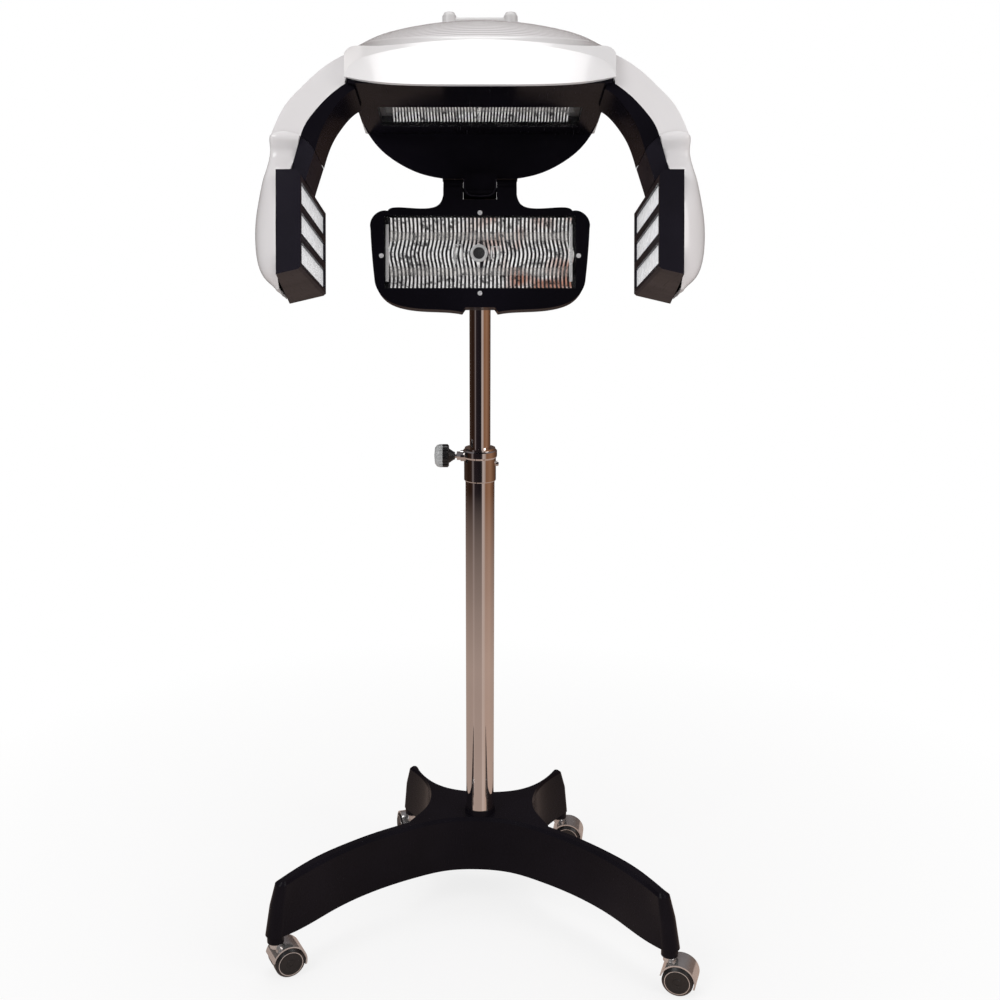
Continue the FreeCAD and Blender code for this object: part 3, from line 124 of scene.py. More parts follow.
def light_room():
    """Room that shows white, lights softly, and gives polished surfaces its darker walls to mirror."""
    world = bpy.data.worlds.new("studio")
    bpy.context.scene.world = world
    world.use_nodes = True
    tree = world.node_tree
    tree.nodes.clear()
    rays = tree.nodes.new("ShaderNodeLightPath")
    spot = tree.nodes.new("ShaderNodeTexCoord")
    tones = tree.nodes.new("ShaderNodeGroup")
    tones.node_tree = ROOM
    height = tree.nodes.new("ShaderNodeSeparateXYZ")
    up = tree.nodes.new("ShaderNodeMapRange")
    up.inputs["From Min"].default_value = 0.25
    up.inputs["From Max"].default_value = 0.75
    ceiling = tree.nodes.new("ShaderNodeMix")
    ceiling.data_type = "RGBA"
    ceiling.inputs[7].default_value = (0.16, 0.15, 0.16, 1.0)
    room = tree.nodes.new("ShaderNodeBackground")
    soft = tree.nodes.new("ShaderNodeBackground")
    soft.inputs["Color"].default_value = (1.0, 0.985, 0.985, 1.0)
    soft.inputs["Strength"].default_value = 0.50
    white = tree.nodes.new("ShaderNodeBackground")
    white.inputs["Color"].default_value = (1.0, 1.0, 1.0, 1.0)
    first = tree.nodes.new("ShaderNodeMixShader")
    last = tree.nodes.new("ShaderNodeMixShader")
    either = tree.nodes.new("ShaderNodeMath")
    either.operation = "MAXIMUM"
    out = tree.nodes.new("ShaderNodeOutputWorld")
    link = tree.links.new
    link(spot.outputs["Generated"], tones.inputs["Vector"])
    link(spot.outputs["Generated"], height.inputs[0])
    link(height.outputs["Z"], up.inputs["Value"])
    link(up.outputs["Result"], ceiling.inputs["Factor"])
    link(tones.outputs["Color"], ceiling.inputs[6])
    link(ceiling.outputs[2], room.inputs["Color"])
    link(rays.outputs["Is Glossy Ray"], first.inputs["Fac"])
    link(soft.outputs[0], first.inputs[1])
    link(room.outputs[0], first.inputs[2])
    link(rays.outputs["Is Camera Ray"], either.inputs[0])
    link(rays.outputs["Is Transmission Ray"], either.inputs[1])
    link(either.outputs[0], last.inputs["Fac"])
    link(first.outputs[0], last.inputs[1])
    link(white.outputs[0], last.inputs[2])
    link(last.outputs[0], out.inputs["Surface"])


def lay_floor():
    """Pale floor that fades into the white of the room, and mirrors warm and pale in polished metal."""
    bpy.ops.mesh.primitive_circle_add(vertices=64, radius=FLOOR_RADIUS, fill_type="NGON",
                                      location=(0.0, 0.0, 0.0))
    floor = bpy.context.object
    floor.name = "floor"
    finish = bpy.data.materials.new("pale_floor")
    finish.use_nodes = True
    tree = finish.node_tree
    tree.nodes.clear()
    rays = tree.nodes.new("ShaderNodeLightPath")
    place = tree.nodes.new("ShaderNodeTexCoord")
    reach = tree.nodes.new("ShaderNodeVectorMath")
    reach.operation = "LENGTH"
    fade = tree.nodes.new("ShaderNodeMapRange")
    fade.inputs["From Min"].default_value = 0.45
    fade.inputs["From Max"].default_value = 1.3
    fade.inputs["To Min"].default_value = 0.80
    fade.inputs["To Max"].default_value = 1.0
    seen = tree.nodes.new("ShaderNodeMath")
    seen.operation = "MULTIPLY"
    matt = tree.nodes.new("ShaderNodeBsdfDiffuse")
    matt.inputs["Color"].default_value = (0.88, 0.87, 0.87, 1.0)
    glow = tree.nodes.new("ShaderNodeEmission")
    glow.inputs["Color"].default_value = (1.0, 1.0, 1.0, 1.0)
    tones = tree.nodes.new("ShaderNodeGroup")
    tones.node_tree = ROOM
    near = tree.nodes.new("ShaderNodeMapRange")
    near.inputs["From Min"].default_value = 1.1
    near.inputs["From Max"].default_value = 3.0
    near.inputs["To Min"].default_value = 0.30
    pale = tree.nodes.new("ShaderNodeMix")
    pale.data_type = "RGBA"
    pale.inputs[6].default_value = (0.56, 0.43, 0.37, 1.0)
    mirror = tree.nodes.new("ShaderNodeEmission")
    blend = tree.nodes.new("ShaderNodeMixShader")
    whole = tree.nodes.new("ShaderNodeMixShader")
    out = tree.nodes.new("ShaderNodeOutputMaterial")
    link = tree.links.new
    link(place.outputs["Object"], reach.inputs[0])
    link(place.outputs["Object"], tones.inputs["Vector"])
    link(reach.outputs["Value"], fade.inputs["Value"])
    link(reach.outputs["Value"], near.inputs["Value"])
    link(near.outputs["Result"], pale.inputs["Factor"])
    link(tones.outputs["Color"], pale.inputs[7])
    link(pale.outputs[2], mirror.inputs["Color"])
    link(fade.outputs["Result"], seen.inputs[0])
    link(rays.outputs["Is Camera Ray"], seen.inputs[1])
    link(seen.outputs[0], blend.inputs["Fac"])
    link(matt.outputs[0], blend.inputs[1])
    link(glow.outputs[0], blend.inputs[2])
    link(rays.outputs["Is Glossy Ray"], whole.inputs["Fac"])
    link(blend.outputs[0], whole.inputs[1])
    link(mirror.outputs[0], whole.inputs[2])
    link(whole.outputs[0], out.inputs["Surface"])
    floor.data.materials.append(finish)


place_camera()
light_room()
lay_floor()
softbox("key_light", (-1.5, -1.7, 2.5), (0.0, 0.0, 1.1), (1.3, 1.3), 21.0)
softbox("fill_light", (1.8, -1.3, 1.9), (0.0, 0.0, 1.0), (1.0, 1.6), 12.0, (1.0, 0.98, 0.97))
softbox("top_light", (0.0, 0.5, 2.9), (0.0, 0.0, 1.2), (1.6, 1.2), 16.0)
softbox("low_light", (0.1, -2.3, 0.6), (0.0, 0.0, 1.1), (1.4, 0.4), 5.0, mirrored=False)


# ------------------------------------------------------------ shader groups
def new_group(name, inputs, outputs):
    """Empty node group with named sockets: inputs are (name, kind, value), outputs (name, kind)."""
    group = bpy.data.node_groups.new(name, "ShaderNodeTree")
    for label, kind, value in inputs:
        socket = group.interface.new_socket(name=label, in_out="INPUT", socket_type=kind)
        socket.default_value = value
    for label, kind in outputs:
        group.interface.new_socket(name=label, in_out="OUTPUT", socket_type=kind)
    return group, group.nodes.new("NodeGroupInput"), group.nodes.new("NodeGroupOutput")


def grain_group():
    """Fine moulded or blasted grain: a height that feeds a bump."""
    group, source, sink = new_group("fine_grain",
                                    [("Scale", "NodeSocketFloat", 900.0),
                                     ("Broad", "NodeSocketFloat", 0.3)],
                                    [("Height", "NodeSocketFloat")])
    place = group.nodes.new("ShaderNodeTexCoord")
    fine = group.nodes.new("ShaderNodeTexNoise")
    fine.inputs["Detail"].default_value = 3.0
    slow = group.nodes.new("ShaderNodeTexNoise")
    slow.inputs["Scale"].default_value = 9.0
    slow.inputs["Detail"].default_value = 1.0
    weigh = group.nodes.new("ShaderNodeMath")
    weigh.operation = "MULTIPLY_ADD"
    link = group.links.new
    link(place.outputs["Object"], fine.inputs["Vector"])
    link(place.outputs["Object"], slow.inputs["Vector"])
    link(source.outputs["Scale"], fine.inputs["Scale"])
    link(slow.outputs["Fac"], weigh.inputs[0])
    link(source.outputs["Broad"], weigh.inputs[1])
    link(fine.outputs["Fac"], weigh.inputs[2])
    link(weigh.outputs[0], sink.inputs["Height"])
    return group


def wear_group():
    """Handling marks: faint smears and fine rubbed lines, as a roughness."""
    group, source, sink = new_group("handling_marks",
                                    [("Low", "NodeSocketFloat", 0.15), ("High", "NodeSocketFloat", 0.3),
                                     ("Scale", "NodeSocketFloat", 14.0)], [("Roughness",
                                                                            "NodeSocketFloat")])
    place = group.nodes.new("ShaderNodeTexCoord")
    smear = group.nodes.new("ShaderNodeTexNoise")
    smear.inputs["Detail"].default_value = 5.0
    smear.inputs["Roughness"].default_value = 0.62
    stretch = group.nodes.new("ShaderNodeMapping")
    stretch.inputs["Rotation"].default_value = (0.3, 0.5, 0.8)
    stretch.inputs["Scale"].default_value = (420.0, 18.0, 60.0)
    line = group.nodes.new("ShaderNodeTexNoise")
    line.inputs["Scale"].default_value = 1.0
    line.inputs["Detail"].default_value = 2.0
    rubbed = group.nodes.new("ShaderNodeMapRange")
    rubbed.inputs["From Min"].default_value = 0.60
    rubbed.inputs["From Max"].default_value = 0.72
    add = group.nodes.new("ShaderNodeMath")
    add.operation = "MULTIPLY_ADD"
    add.inputs[1].default_value = 0.25
    spread = group.nodes.new("ShaderNodeMapRange")
    spread.inputs["From Min"].default_value = 0.35
    spread.inputs["From Max"].default_value = 0.85
    link = group.links.new
    link(place.outputs["Object"], smear.inputs["Vector"])
    link(source.outputs["Scale"], smear.inputs["Scale"])
    link(place.outputs["Object"], stretch.inputs["Vector"])
    link(stretch.outputs["Vector"], line.inputs["Vector"])
    link(line.outputs["Fac"], rubbed.inputs["Value"])
    link(rubbed.outputs["Result"], add.inputs[0])
    link(smear.outputs["Fac"], add.inputs[2])
    link(add.outputs[0], spread.inputs["Value"])
    link(source.outputs["Low"], spread.inputs["To Min"])
    link(source.outputs["High"], spread.inputs["To Max"])
    link(spread.outputs["Result"], sink.inputs["Roughness"])
    return group


def tint_group():
    """Slow drift between two shades of one colour."""
    group, source, sink = new_group("shade_drift",
                                    [("Light", "NodeSocketColor", (1, 1, 1, 1)),
                                     ("Dark", "NodeSocketColor", (0, 0, 0, 1)),
                                     ("Scale", "NodeSocketFloat", 6.0)], [("Color", "NodeSocketColor")])
    place = group.nodes.new("ShaderNodeTexCoord")
    drift = group.nodes.new("ShaderNodeTexNoise")
    drift.inputs["Detail"].default_value = 4.0
    edge = group.nodes.new("ShaderNodeMapRange")
    edge.inputs["From Min"].default_value = 0.3
    edge.inputs["From Max"].default_value = 0.7
    mix = group.nodes.new("ShaderNodeMix")
    mix.data_type = "RGBA"
    link = group.links.new
    link(place.outputs["Object"], drift.inputs["Vector"])
    link(source.outputs["Scale"], drift.inputs["Scale"])
    link(drift.outputs["Fac"], edge.inputs["Value"])
    link(edge.outputs["Result"], mix.inputs["Factor"])
    link(source.outputs["Light"], mix.inputs[6])
    link(source.outputs["Dark"], mix.inputs[7])
    link(mix.outputs[2], sink.inputs["Color"])
    return group


def flute_group():
    """Pressed flutes along a sheet's columns: a mask for painted dark reflections in the valleys, and a
    noise for painted dark reflection mottles over them.
    """
    group, source, sink = new_group("flute_valleys",
                                    [("Count", "NodeSocketFloat", 46.0), ("Wander", "NodeSocketFloat", 0.8),
                                     ("Dark Share", "NodeSocketFloat", 0.1)],
                                    [("Mask", "NodeSocketFloat"), ("Mottle Noise", "NodeSocketFloat")])
    place = group.nodes.new("ShaderNodeTexCoord")
    split = group.nodes.new("ShaderNodeSeparateXYZ")
    warp = group.nodes.new("ShaderNodeTexNoise")
    warp.inputs["Scale"].default_value = 34.0
    warp.inputs["Detail"].default_value = 2.0
    centred = group.nodes.new("ShaderNodeMath")
    centred.operation = "SUBTRACT"
    centred.inputs[1].default_value = 0.5
    bent = group.nodes.new("ShaderNodeMath")
    bent.operation = "MULTIPLY"
    total = group.nodes.new("ShaderNodeMath")
    total.operation = "MULTIPLY_ADD"
    turns = group.nodes.new("ShaderNodeMath")
    turns.operation = "MULTIPLY"
    turns.inputs[1].default_value = 2 * math.pi
    wave = group.nodes.new("ShaderNodeMath")
    wave.operation = "SINE"
    cut = group.nodes.new("ShaderNodeMapRange")
    cut.interpolation_type = "SMOOTHSTEP"
    high = group.nodes.new("ShaderNodeMath")
    high.operation = "ADD"
    high.inputs[1].default_value = 0.40
    # Noise for the painted dark reflection mottles.
    mottle_noise = group.nodes.new("ShaderNodeTexNoise")
    mottle_noise.inputs["Scale"].default_value = 95.0
    mottle_noise.inputs["Detail"].default_value = 3.0
    mottle_noise.inputs["Roughness"].default_value = 0.7
    link = group.links.new
    link(place.outputs["UV"], split.inputs[0])
    link(place.outputs["Object"], warp.inputs["Vector"])
    link(place.outputs["Object"], mottle_noise.inputs["Vector"])
    link(warp.outputs["Fac"], centred.inputs[0])
    link(centred.outputs[0], bent.inputs[0])
    link(source.outputs["Wander"], bent.inputs[1])
    link(split.outputs["X"], total.inputs[0])
    link(source.outputs["Count"], total.inputs[1])
    link(bent.outputs[0], total.inputs[2])
    link(total.outputs[0], turns.inputs[0])
    link(turns.outputs[0], wave.inputs[0])
    link(source.outputs["Dark Share"], cut.inputs["From Min"])
    link(source.outputs["Dark Share"], high.inputs[0])
    link(high.outputs[0], cut.inputs["From Max"])
    link(wave.outputs[0], cut.inputs["Value"])
    link(cut.outputs["Result"], sink.inputs["Mask"])
    link(mottle_noise.outputs["Fac"], sink.inputs["Mottle Noise"])
    return group


def zone_group():
    """Share of the way past a plane across one axis: 0 before it, 1 after."""
    group, source, sink = new_group("zone_mask",
                                    [("Axis", "NodeSocketVector", (1.0, 0.0, 0.0)),
                                     ("At", "NodeSocketFloat", 0.0),
                                     ("Blend", "NodeSocketFloat", 0.0006)], [("Mask", "NodeSocketFloat")])
    place = group.nodes.new("ShaderNodeTexCoord")
    along = group.nodes.new("ShaderNodeVectorMath")
    along.operation = "DOT_PRODUCT"
    less = group.nodes.new("ShaderNodeMath")
    less.operation = "SUBTRACT"
    ratio = group.nodes.new("ShaderNodeMath")
    ratio.operation = "DIVIDE"
    ratio.use_clamp = True
    link = group.links.new
    link(place.outputs["Object"], along.inputs[0])
    link(source.outputs["Axis"], along.inputs[1])
    link(along.outputs["Value"], less.inputs[0])
    link(source.outputs["At"], less.inputs[1])
    link(less.outputs[0], ratio.inputs[0])
    link(source.outputs["Blend"], ratio.inputs[1])
    link(ratio.outputs[0], sink.inputs["Mask"])
    return group


def louvre_group():
    """Fine louvre lines across the front of the crown: a height, and a tone for their shade."""
    group, source, sink = new_group("crown_louvres", [("Pitch", "NodeSocketFloat", 0.0085)],
                                    [("Height", "NodeSocketFloat"), ("Shade", "NodeSocketFloat")])
    place = group.nodes.new("ShaderNodeTexCoord")
    split = group.nodes.new("ShaderNodeSeparateXYZ")
    square = group.nodes.new("ShaderNodeMath")
    square.operation = "MULTIPLY"
    bow = group.nodes.new("ShaderNodeMath")
    bow.operation = "MULTIPLY_ADD"
    bow.inputs[1].default_value = 1.1
    count = group.nodes.new("ShaderNodeMath")
    count.operation = "DIVIDE"
    saw = group.nodes.new("ShaderNodeMath")
    saw.operation = "FRACT"
    line = group.nodes.new("ShaderNodeMapRange")
    line.interpolation_type = "SMOOTHSTEP"
    line.inputs["From Min"].default_value = 0.30
    line.inputs["From Max"].default_value = 0.62
    front = group.nodes.new("ShaderNodeMapRange")
    front.interpolation_type = "SMOOTHSTEP"
    front.inputs["From Min"].default_value = -0.205
    front.inputs["From Max"].default_value = -0.190
    crown = group.nodes.new("ShaderNodeMapRange")
    crown.interpolation_type = "SMOOTHSTEP"
    crown.inputs["From Min"].default_value = 1.375
    crown.inputs["From Max"].default_value = 1.392
    back = group.nodes.new("ShaderNodeMapRange")
    back.interpolation_type = "SMOOTHSTEP"
    back.inputs["From Min"].default_value = -0.075
    back.inputs["From Max"].default_value = -0.045
    back.inputs["To Min"].default_value = 1.0
    back.inputs["To Max"].default_value = 0.0
    span = group.nodes.new("ShaderNodeMath")
    span.operation = "MULTIPLY"
    both = group.nodes.new("ShaderNodeMath")
    both.operation = "MULTIPLY"
    whole = group.nodes.new("ShaderNodeMath")
    whole.operation = "MULTIPLY"
    link = group.links.new
    link(place.outputs["Object"], split.inputs[0])
    link(split.outputs["Y"], back.inputs["Value"])
    link(back.outputs["Result"], span.inputs[1])
    link(split.outputs["X"], square.inputs[0])
    link(split.outputs["X"], square.inputs[1])
    link(square.outputs[0], bow.inputs[0])
    link(split.outputs["Y"], bow.inputs[2])
    link(bow.outputs[0], count.inputs[0])
    link(source.outputs["Pitch"], count.inputs[1])
    link(count.outputs[0], saw.inputs[0])
    link(saw.outputs[0], line.inputs["Value"])
    link(split.outputs["Y"], front.inputs["Value"])
    link(split.outputs["Z"], crown.inputs["Value"])
    link(front.outputs["Result"], span.inputs[0])
    link(span.outputs[0], both.inputs[0])
    link(crown.outputs["Result"], both.inputs[1])
    link(both.outputs[0], whole.inputs[0])
    link(line.outputs["Result"], whole.inputs[1])
    link(whole.outputs[0], sink.inputs["Height"])
    link(whole.outputs[0], sink.inputs["Shade"])
    return group


GRAIN = grain_group()
WEAR = wear_group()
TINT = tint_group()
FLUTES = flute_group()
ZONE = zone_group()
LOUVRES = louvre_group()


# ------------------------------------------------------------ finishes
def finish(name, light, dark, rough, grain, metallic=0.0, coat=0.0, drift=6.0, **sockets):
    """A Principled finish: colour drifts from light to dark,
    rough is a range, grain is (scale, bump distance)."""
    material = bpy.data.materials.new(name)
    material.use_nodes = True
    tree = material.node_tree
    shader = tree.nodes["Principled BSDF"]
    shader.inputs["Metallic"].default_value = metallic
    shader.inputs["Coat Weight"].default_value = coat
    for label, value in sockets.items():
        shader.inputs[label.replace("_", " ")].default_value = value
    colour = tree.nodes.new("ShaderNodeGroup")
    colour.node_tree = TINT
    colour.inputs["Light"].default_value = light + (1.0,)
    colour.inputs["Dark"].default_value = dark + (1.0,)
    colour.inputs["Scale"].default_value = drift
    marks = tree.nodes.new("ShaderNodeGroup")
    marks.node_tree = WEAR
    marks.inputs["Low"].default_value = rough[0]
    marks.inputs["High"].default_value = rough[1]
    surface = tree.nodes.new("ShaderNodeGroup")
    surface.node_tree = GRAIN
    surface.inputs["Scale"].default_value = grain[0]
    bump = tree.nodes.new("ShaderNodeBump")
    bump.inputs["Distance"].default_value = grain[1]
    bump.inputs["Strength"].default_value = 0.5
    link = tree.links.new
    link(colour.outputs["Color"], shader.inputs["Base Color"])
    link(marks.outputs["Roughness"], shader.inputs["Roughness"])
    link(surface.outputs["Height"], bump.inputs["Height"])
    link(bump.outputs["Normal"], shader.inputs["Normal"])
    return material


def reflector_finish(name, count, wander, dark_share, warmth):
    """Pressed aluminium with painted light: painted dark reflections in the valleys between flutes, painted
    dark reflection mottles, a painted warm reflection patch and a faint painted glow.
    """
    material = finish(name, (1.0, 1.0, 1.0), (0.80, 0.79, 0.78), (0.2, 0.4), (600.0, 0.0002),
                      metallic=0.1, drift=30.0)
    tree = material.node_tree
    shader = tree.nodes["Principled BSDF"]
    colour = shader.inputs["Base Color"].links[0].from_socket
    valleys = tree.nodes.new("ShaderNodeGroup")
    valleys.node_tree = FLUTES
    valleys.inputs["Count"].default_value = count
    valleys.inputs["Wander"].default_value = wander
    valleys.inputs["Dark Share"].default_value = dark_share
    place = tree.nodes.new("ShaderNodeTexCoord")
    # Painted warm reflection: a noise patch that tints the base colour warm towards the +x end of the
    # sheet.
    warm_patch_noise = tree.nodes.new("ShaderNodeTexNoise")
    warm_patch_noise.inputs["Scale"].default_value = 15.0
    warm_patch_noise.inputs["Detail"].default_value = 2.0
    painted_warm_patch = tree.nodes.new("ShaderNodeMapRange")
    painted_warm_patch.inputs["From Min"].default_value = 0.44
    painted_warm_patch.inputs["From Max"].default_value = 0.56
    painted_warm_patch.inputs["To Max"].default_value = warmth
    side = tree.nodes.new("ShaderNodeGroup")
    side.node_tree = ZONE
    side.inputs["At"].default_value = -0.03
    side.inputs["Blend"].default_value = 0.09
    sided = tree.nodes.new("ShaderNodeMath")
    sided.operation = "MULTIPLY"
    warm = tree.nodes.new("ShaderNodeMix")
    warm.data_type = "RGBA"
    warm.inputs[7].default_value = (0.50, 0.20, 0.12, 1.0)
    # Painted dark reflection mottles, where the mottle noise is low.
    painted_dark_mottle = tree.nodes.new("ShaderNodeMapRange")
    painted_dark_mottle.inputs["From Min"].default_value = 0.34
    painted_dark_mottle.inputs["From Max"].default_value = 0.52
    painted_dark_mottle.inputs["To Min"].default_value = 0.96
    painted_dark_mottle.inputs["To Max"].default_value = 0.0
    either = tree.nodes.new("ShaderNodeMath")
    either.operation = "MAXIMUM"
    # Painted dark reflections: valleys and mottles darken the base colour almost to black.
    dark = tree.nodes.new("ShaderNodeMix")
    dark.data_type = "RGBA"
    dark.inputs[7].default_value = (0.006, 0.005, 0.007, 1.0)
    spec = tree.nodes.new("ShaderNodeMapRange")
    spec.inputs["To Min"].default_value = 0.12
    spec.inputs["To Max"].default_value = 0.0
    link = tree.links.new
    link(place.outputs["Object"], warm_patch_noise.inputs["Vector"])
    link(warm_patch_noise.outputs["Fac"], painted_warm_patch.inputs["Value"])
    link(painted_warm_patch.outputs["Result"], sided.inputs[0])
    link(side.outputs["Mask"], sided.inputs[1])
    link(sided.outputs[0], warm.inputs["Factor"])
    link(colour, warm.inputs[6])
    link(valleys.outputs["Mottle Noise"], painted_dark_mottle.inputs["Value"])
    link(valleys.outputs["Mask"], either.inputs[0])
    link(painted_dark_mottle.outputs["Result"], either.inputs[1])
    link(either.outputs[0], dark.inputs["Factor"])
    link(warm.outputs[2], dark.inputs[6])
    link(dark.outputs[2], shader.inputs["Base Color"])
    # Painted glow: the painted colour is also emitted, at strength 0.42, though the reflector is no lamp.
    link(dark.outputs[2], shader.inputs["Emission Color"])
    shader.inputs["Emission Strength"].default_value = 0.42
    link(either.outputs[0], spec.inputs["Value"])
    link(spec.outputs["Result"], shader.inputs["Metallic"])
    return material


def pane_finish(name, tint, haze, rough, bump_scale, bump_depth, mirror=0.3):
    """Thin lamp glass: it lets light straight through, mirrors at a slant, and its haze shows as white."""
    material = finish(name, (0.93, 0.93, 0.93), (0.86, 0.86, 0.87), rough, (bump_scale, bump_depth),
                      drift=40.0)
    tree = material.node_tree
    shader = tree.nodes["Principled BSDF"]
    clear = tree.nodes.new("ShaderNodeBsdfTransparent")
    clear.inputs["Color"].default_value = tint + (1.0,)
    slant = tree.nodes.new("ShaderNodeFresnel")
    slant.inputs["IOR"].default_value = 1.3
    weak = tree.nodes.new("ShaderNodeMath")
    weak.operation = "MULTIPLY"
    weak.inputs[1].default_value = mirror
    shine = tree.nodes.new("ShaderNodeBsdfGlossy")
    shine.inputs["Roughness"].default_value = rough[0]
    cloud = tree.nodes.new("ShaderNodeTexNoise")
    cloud.inputs["Scale"].default_value = 60.0
    cloud.inputs["Detail"].default_value = 3.0
    place = tree.nodes.new("ShaderNodeTexCoord")
    veil = tree.nodes.new("ShaderNodeMapRange")
    veil.inputs["From Min"].default_value = 0.3
    veil.inputs["From Max"].default_value = 0.7
    veil.inputs["To Min"].default_value = haze[0]
    veil.inputs["To Max"].default_value = haze[1]
    rays = tree.nodes.new("ShaderNodeLightPath")
    lit = tree.nodes.new("ShaderNodeMath")
    lit.operation = "SUBTRACT"
    lit.inputs[0].default_value = 1.0
    share = tree.nodes.new("ShaderNodeMath")
    share.operation = "MULTIPLY"
    mix = tree.nodes.new("ShaderNodeMixShader")
    over = tree.nodes.new("ShaderNodeMixShader")
    out = tree.nodes["Material Output"]
    link = tree.links.new
    link(place.outputs["Object"], cloud.inputs["Vector"])
    link(cloud.outputs["Fac"], veil.inputs["Value"])
    link(rays.outputs["Is Shadow Ray"], lit.inputs[1])
    link(veil.outputs["Result"], share.inputs[0])
    link(lit.outputs[0], share.inputs[1])
    link(share.outputs[0], mix.inputs["Fac"])
    link(clear.outputs[0], mix.inputs[1])
    link(shader.outputs[0], mix.inputs[2])
    link(slant.outputs["Fac"], weak.inputs[0])
    link(weak.outputs[0], over.inputs["Fac"])
    link(mix.outputs[0], over.inputs[1])
    link(shine.outputs[0], over.inputs[2])
    link(over.outputs[0], out.inputs["Surface"])
    return material


def two_tone(name, first, second, axis, at, rough, grain, metal=(0.0, 0.0)):
    """One moulding in two finishes that meet at a plane: colours and metalness before and after it."""
    material = finish(name, first, first, rough, grain)
    tree = material.node_tree
    shader = tree.nodes["Principled BSDF"]
    colour = shader.inputs["Base Color"].links[0].from_socket
    zone = tree.nodes.new("ShaderNodeGroup")
    zone.node_tree = ZONE
    zone.inputs["Axis"].default_value = axis
    zone.inputs["At"].default_value = at
    paint = tree.nodes.new("ShaderNodeMix")
    paint.data_type = "RGBA"
    paint.inputs[7].default_value = second + (1.0,)
    metalness = tree.nodes.new("ShaderNodeMapRange")
    metalness.inputs["To Min"].default_value = metal[0]
    metalness.inputs["To Max"].default_value = metal[1]
    link = tree.links.new
    link(zone.outputs["Mask"], paint.inputs["Factor"])
    link(colour, paint.inputs[6])
    link(paint.outputs[2], shader.inputs["Base Color"])
    link(zone.outputs["Mask"], metalness.inputs["Value"])
    link(metalness.outputs["Result"], shader.inputs["Metallic"])
    return material


def louvred(material, depth):
    """Adds the crown's louvre lines to a finish's bump, and a painted shade along them that darkens its
    base colour.
    """
    tree = material.node_tree
    bump = [node for node in tree.nodes if node.bl_idname == "ShaderNodeBump"][0]
    lines = tree.nodes.new("ShaderNodeGroup")
    lines.node_tree = LOUVRES
    second = tree.nodes.new("ShaderNodeBump")
    second.inputs["Distance"].default_value = depth
    tree.links.new(lines.outputs["Height"], second.inputs["Height"])
    tree.links.new(bump.outputs["Normal"], second.inputs["Normal"])
    shader = tree.nodes["Principled BSDF"]
    tree.links.new(second.outputs["Normal"], shader.inputs["Normal"])
    # Painted shade: the louvre lines darken the base colour towards this grey.
    tone = tree.nodes.new("ShaderNodeMix")
    tone.data_type = "RGBA"
    tone.inputs[7].default_value = (0.60, 0.57, 0.58, 1.0)
    tree.links.new(shader.inputs["Base Color"].links[0].from_socket, tone.inputs[6])
    tree.links.new(lines.outputs["Shade"], tone.inputs["Factor"])
    tree.links.new(tone.outputs[2], shader.inputs["Base Color"])
    return material


white_gloss = finish("white_gloss_moulding", (0.80, 0.785, 0.79), (0.75, 0.73, 0.735), (0.14, 0.26),
                     (260.0, 0.00006), coat=0.3)
cover_white = louvred(finish("white_gloss_cover", (0.82, 0.81, 0.81), (0.77, 0.755, 0.76), (0.12, 0.24),
                             (260.0, 0.00005),
                             coat=0.35), 0.0011)
black_gloss = finish("black_gloss_moulding", (0.004, 0.0035, 0.005), (0.007, 0.006, 0.0095), (0.16, 0.30),
                     (700.0, 0.00008),
                     IOR=1.12)
case_black = finish("black_satin_moulding", (0.009, 0.008, 0.012), (0.014, 0.012, 0.019), (0.28, 0.42),
                    (900.0, 0.00014),
                    IOR=1.2)
base_black = finish("black_base_moulding", (0.0045, 0.0038, 0.0055), (0.008, 0.0065, 0.010), (0.20, 0.34),
                    (520.0, 0.0001),
                    IOR=1.19)
tube_chrome = finish("polished_chrome", (0.88, 0.85, 0.83), (0.80, 0.76, 0.74), (0.03, 0.09),
                     (40.0, 0.00002), metallic=1.0)
trim_chrome = finish("chromed_trim", (0.86, 0.84, 0.82), (0.76, 0.73, 0.71), (0.05, 0.14),
                     (60.0, 0.00003), metallic=1.0)
caster_chrome = finish("caster_chrome", (0.80, 0.79, 0.78), (0.66, 0.64, 0.63), (0.08, 0.20),
                       (90.0, 0.00003), metallic=0.85)
rough_steel = finish("painted_steel", (0.05, 0.05, 0.055), (0.035, 0.035, 0.04), (0.35, 0.5),
                     (900.0, 0.00012))
bright_steel = finish("zinc_steel", (0.66, 0.66, 0.67), (0.52, 0.52, 0.54), (0.22, 0.4),
                      (1200.0, 0.00006), metallic=1.0)
screw_zinc = finish("screw_zinc", (0.88, 0.88, 0.89), (0.74, 0.74, 0.76), (0.25, 0.4), (1400.0, 0.00004),
                    metallic=0.35)
matt_black = finish("matt_black_nylon", (0.022, 0.022, 0.024), (0.03, 0.03, 0.032), (0.5, 0.62),
                    (900.0, 0.0001))
knob_look = two_tone("knob_plastic", (0.46, 0.47, 0.47), (0.012, 0.012, 0.013), (1.0, 0.0, 0.0), -0.0615,
                     (0.25, 0.4),
                     (800.0, 0.00008))
handle_grey = finish("handle_plastic", (0.62, 0.61, 0.61), (0.54, 0.53, 0.53), (0.3, 0.45), (800.0, 0.0001))
key_grey = finish("key_plastic", (0.5, 0.51, 0.53), (0.42, 0.43, 0.45), (0.3, 0.42), (800.0, 0.00008))
tyre_black = finish("tyre_polyurethane", (0.008, 0.008, 0.009), (0.02, 0.018, 0.018), (0.30, 0.5),
                    (900.0, 0.00014))
board_green = finish("board_lacquer", (0.03, 0.16, 0.07), (0.02, 0.11, 0.05), (0.25, 0.4), (700.0, 0.00006))
window_black = finish("smoked_window", (0.008, 0.008, 0.010), (0.012, 0.012, 0.015), (0.08, 0.16),
                      (200.0, 0.00003), coat=0.4)
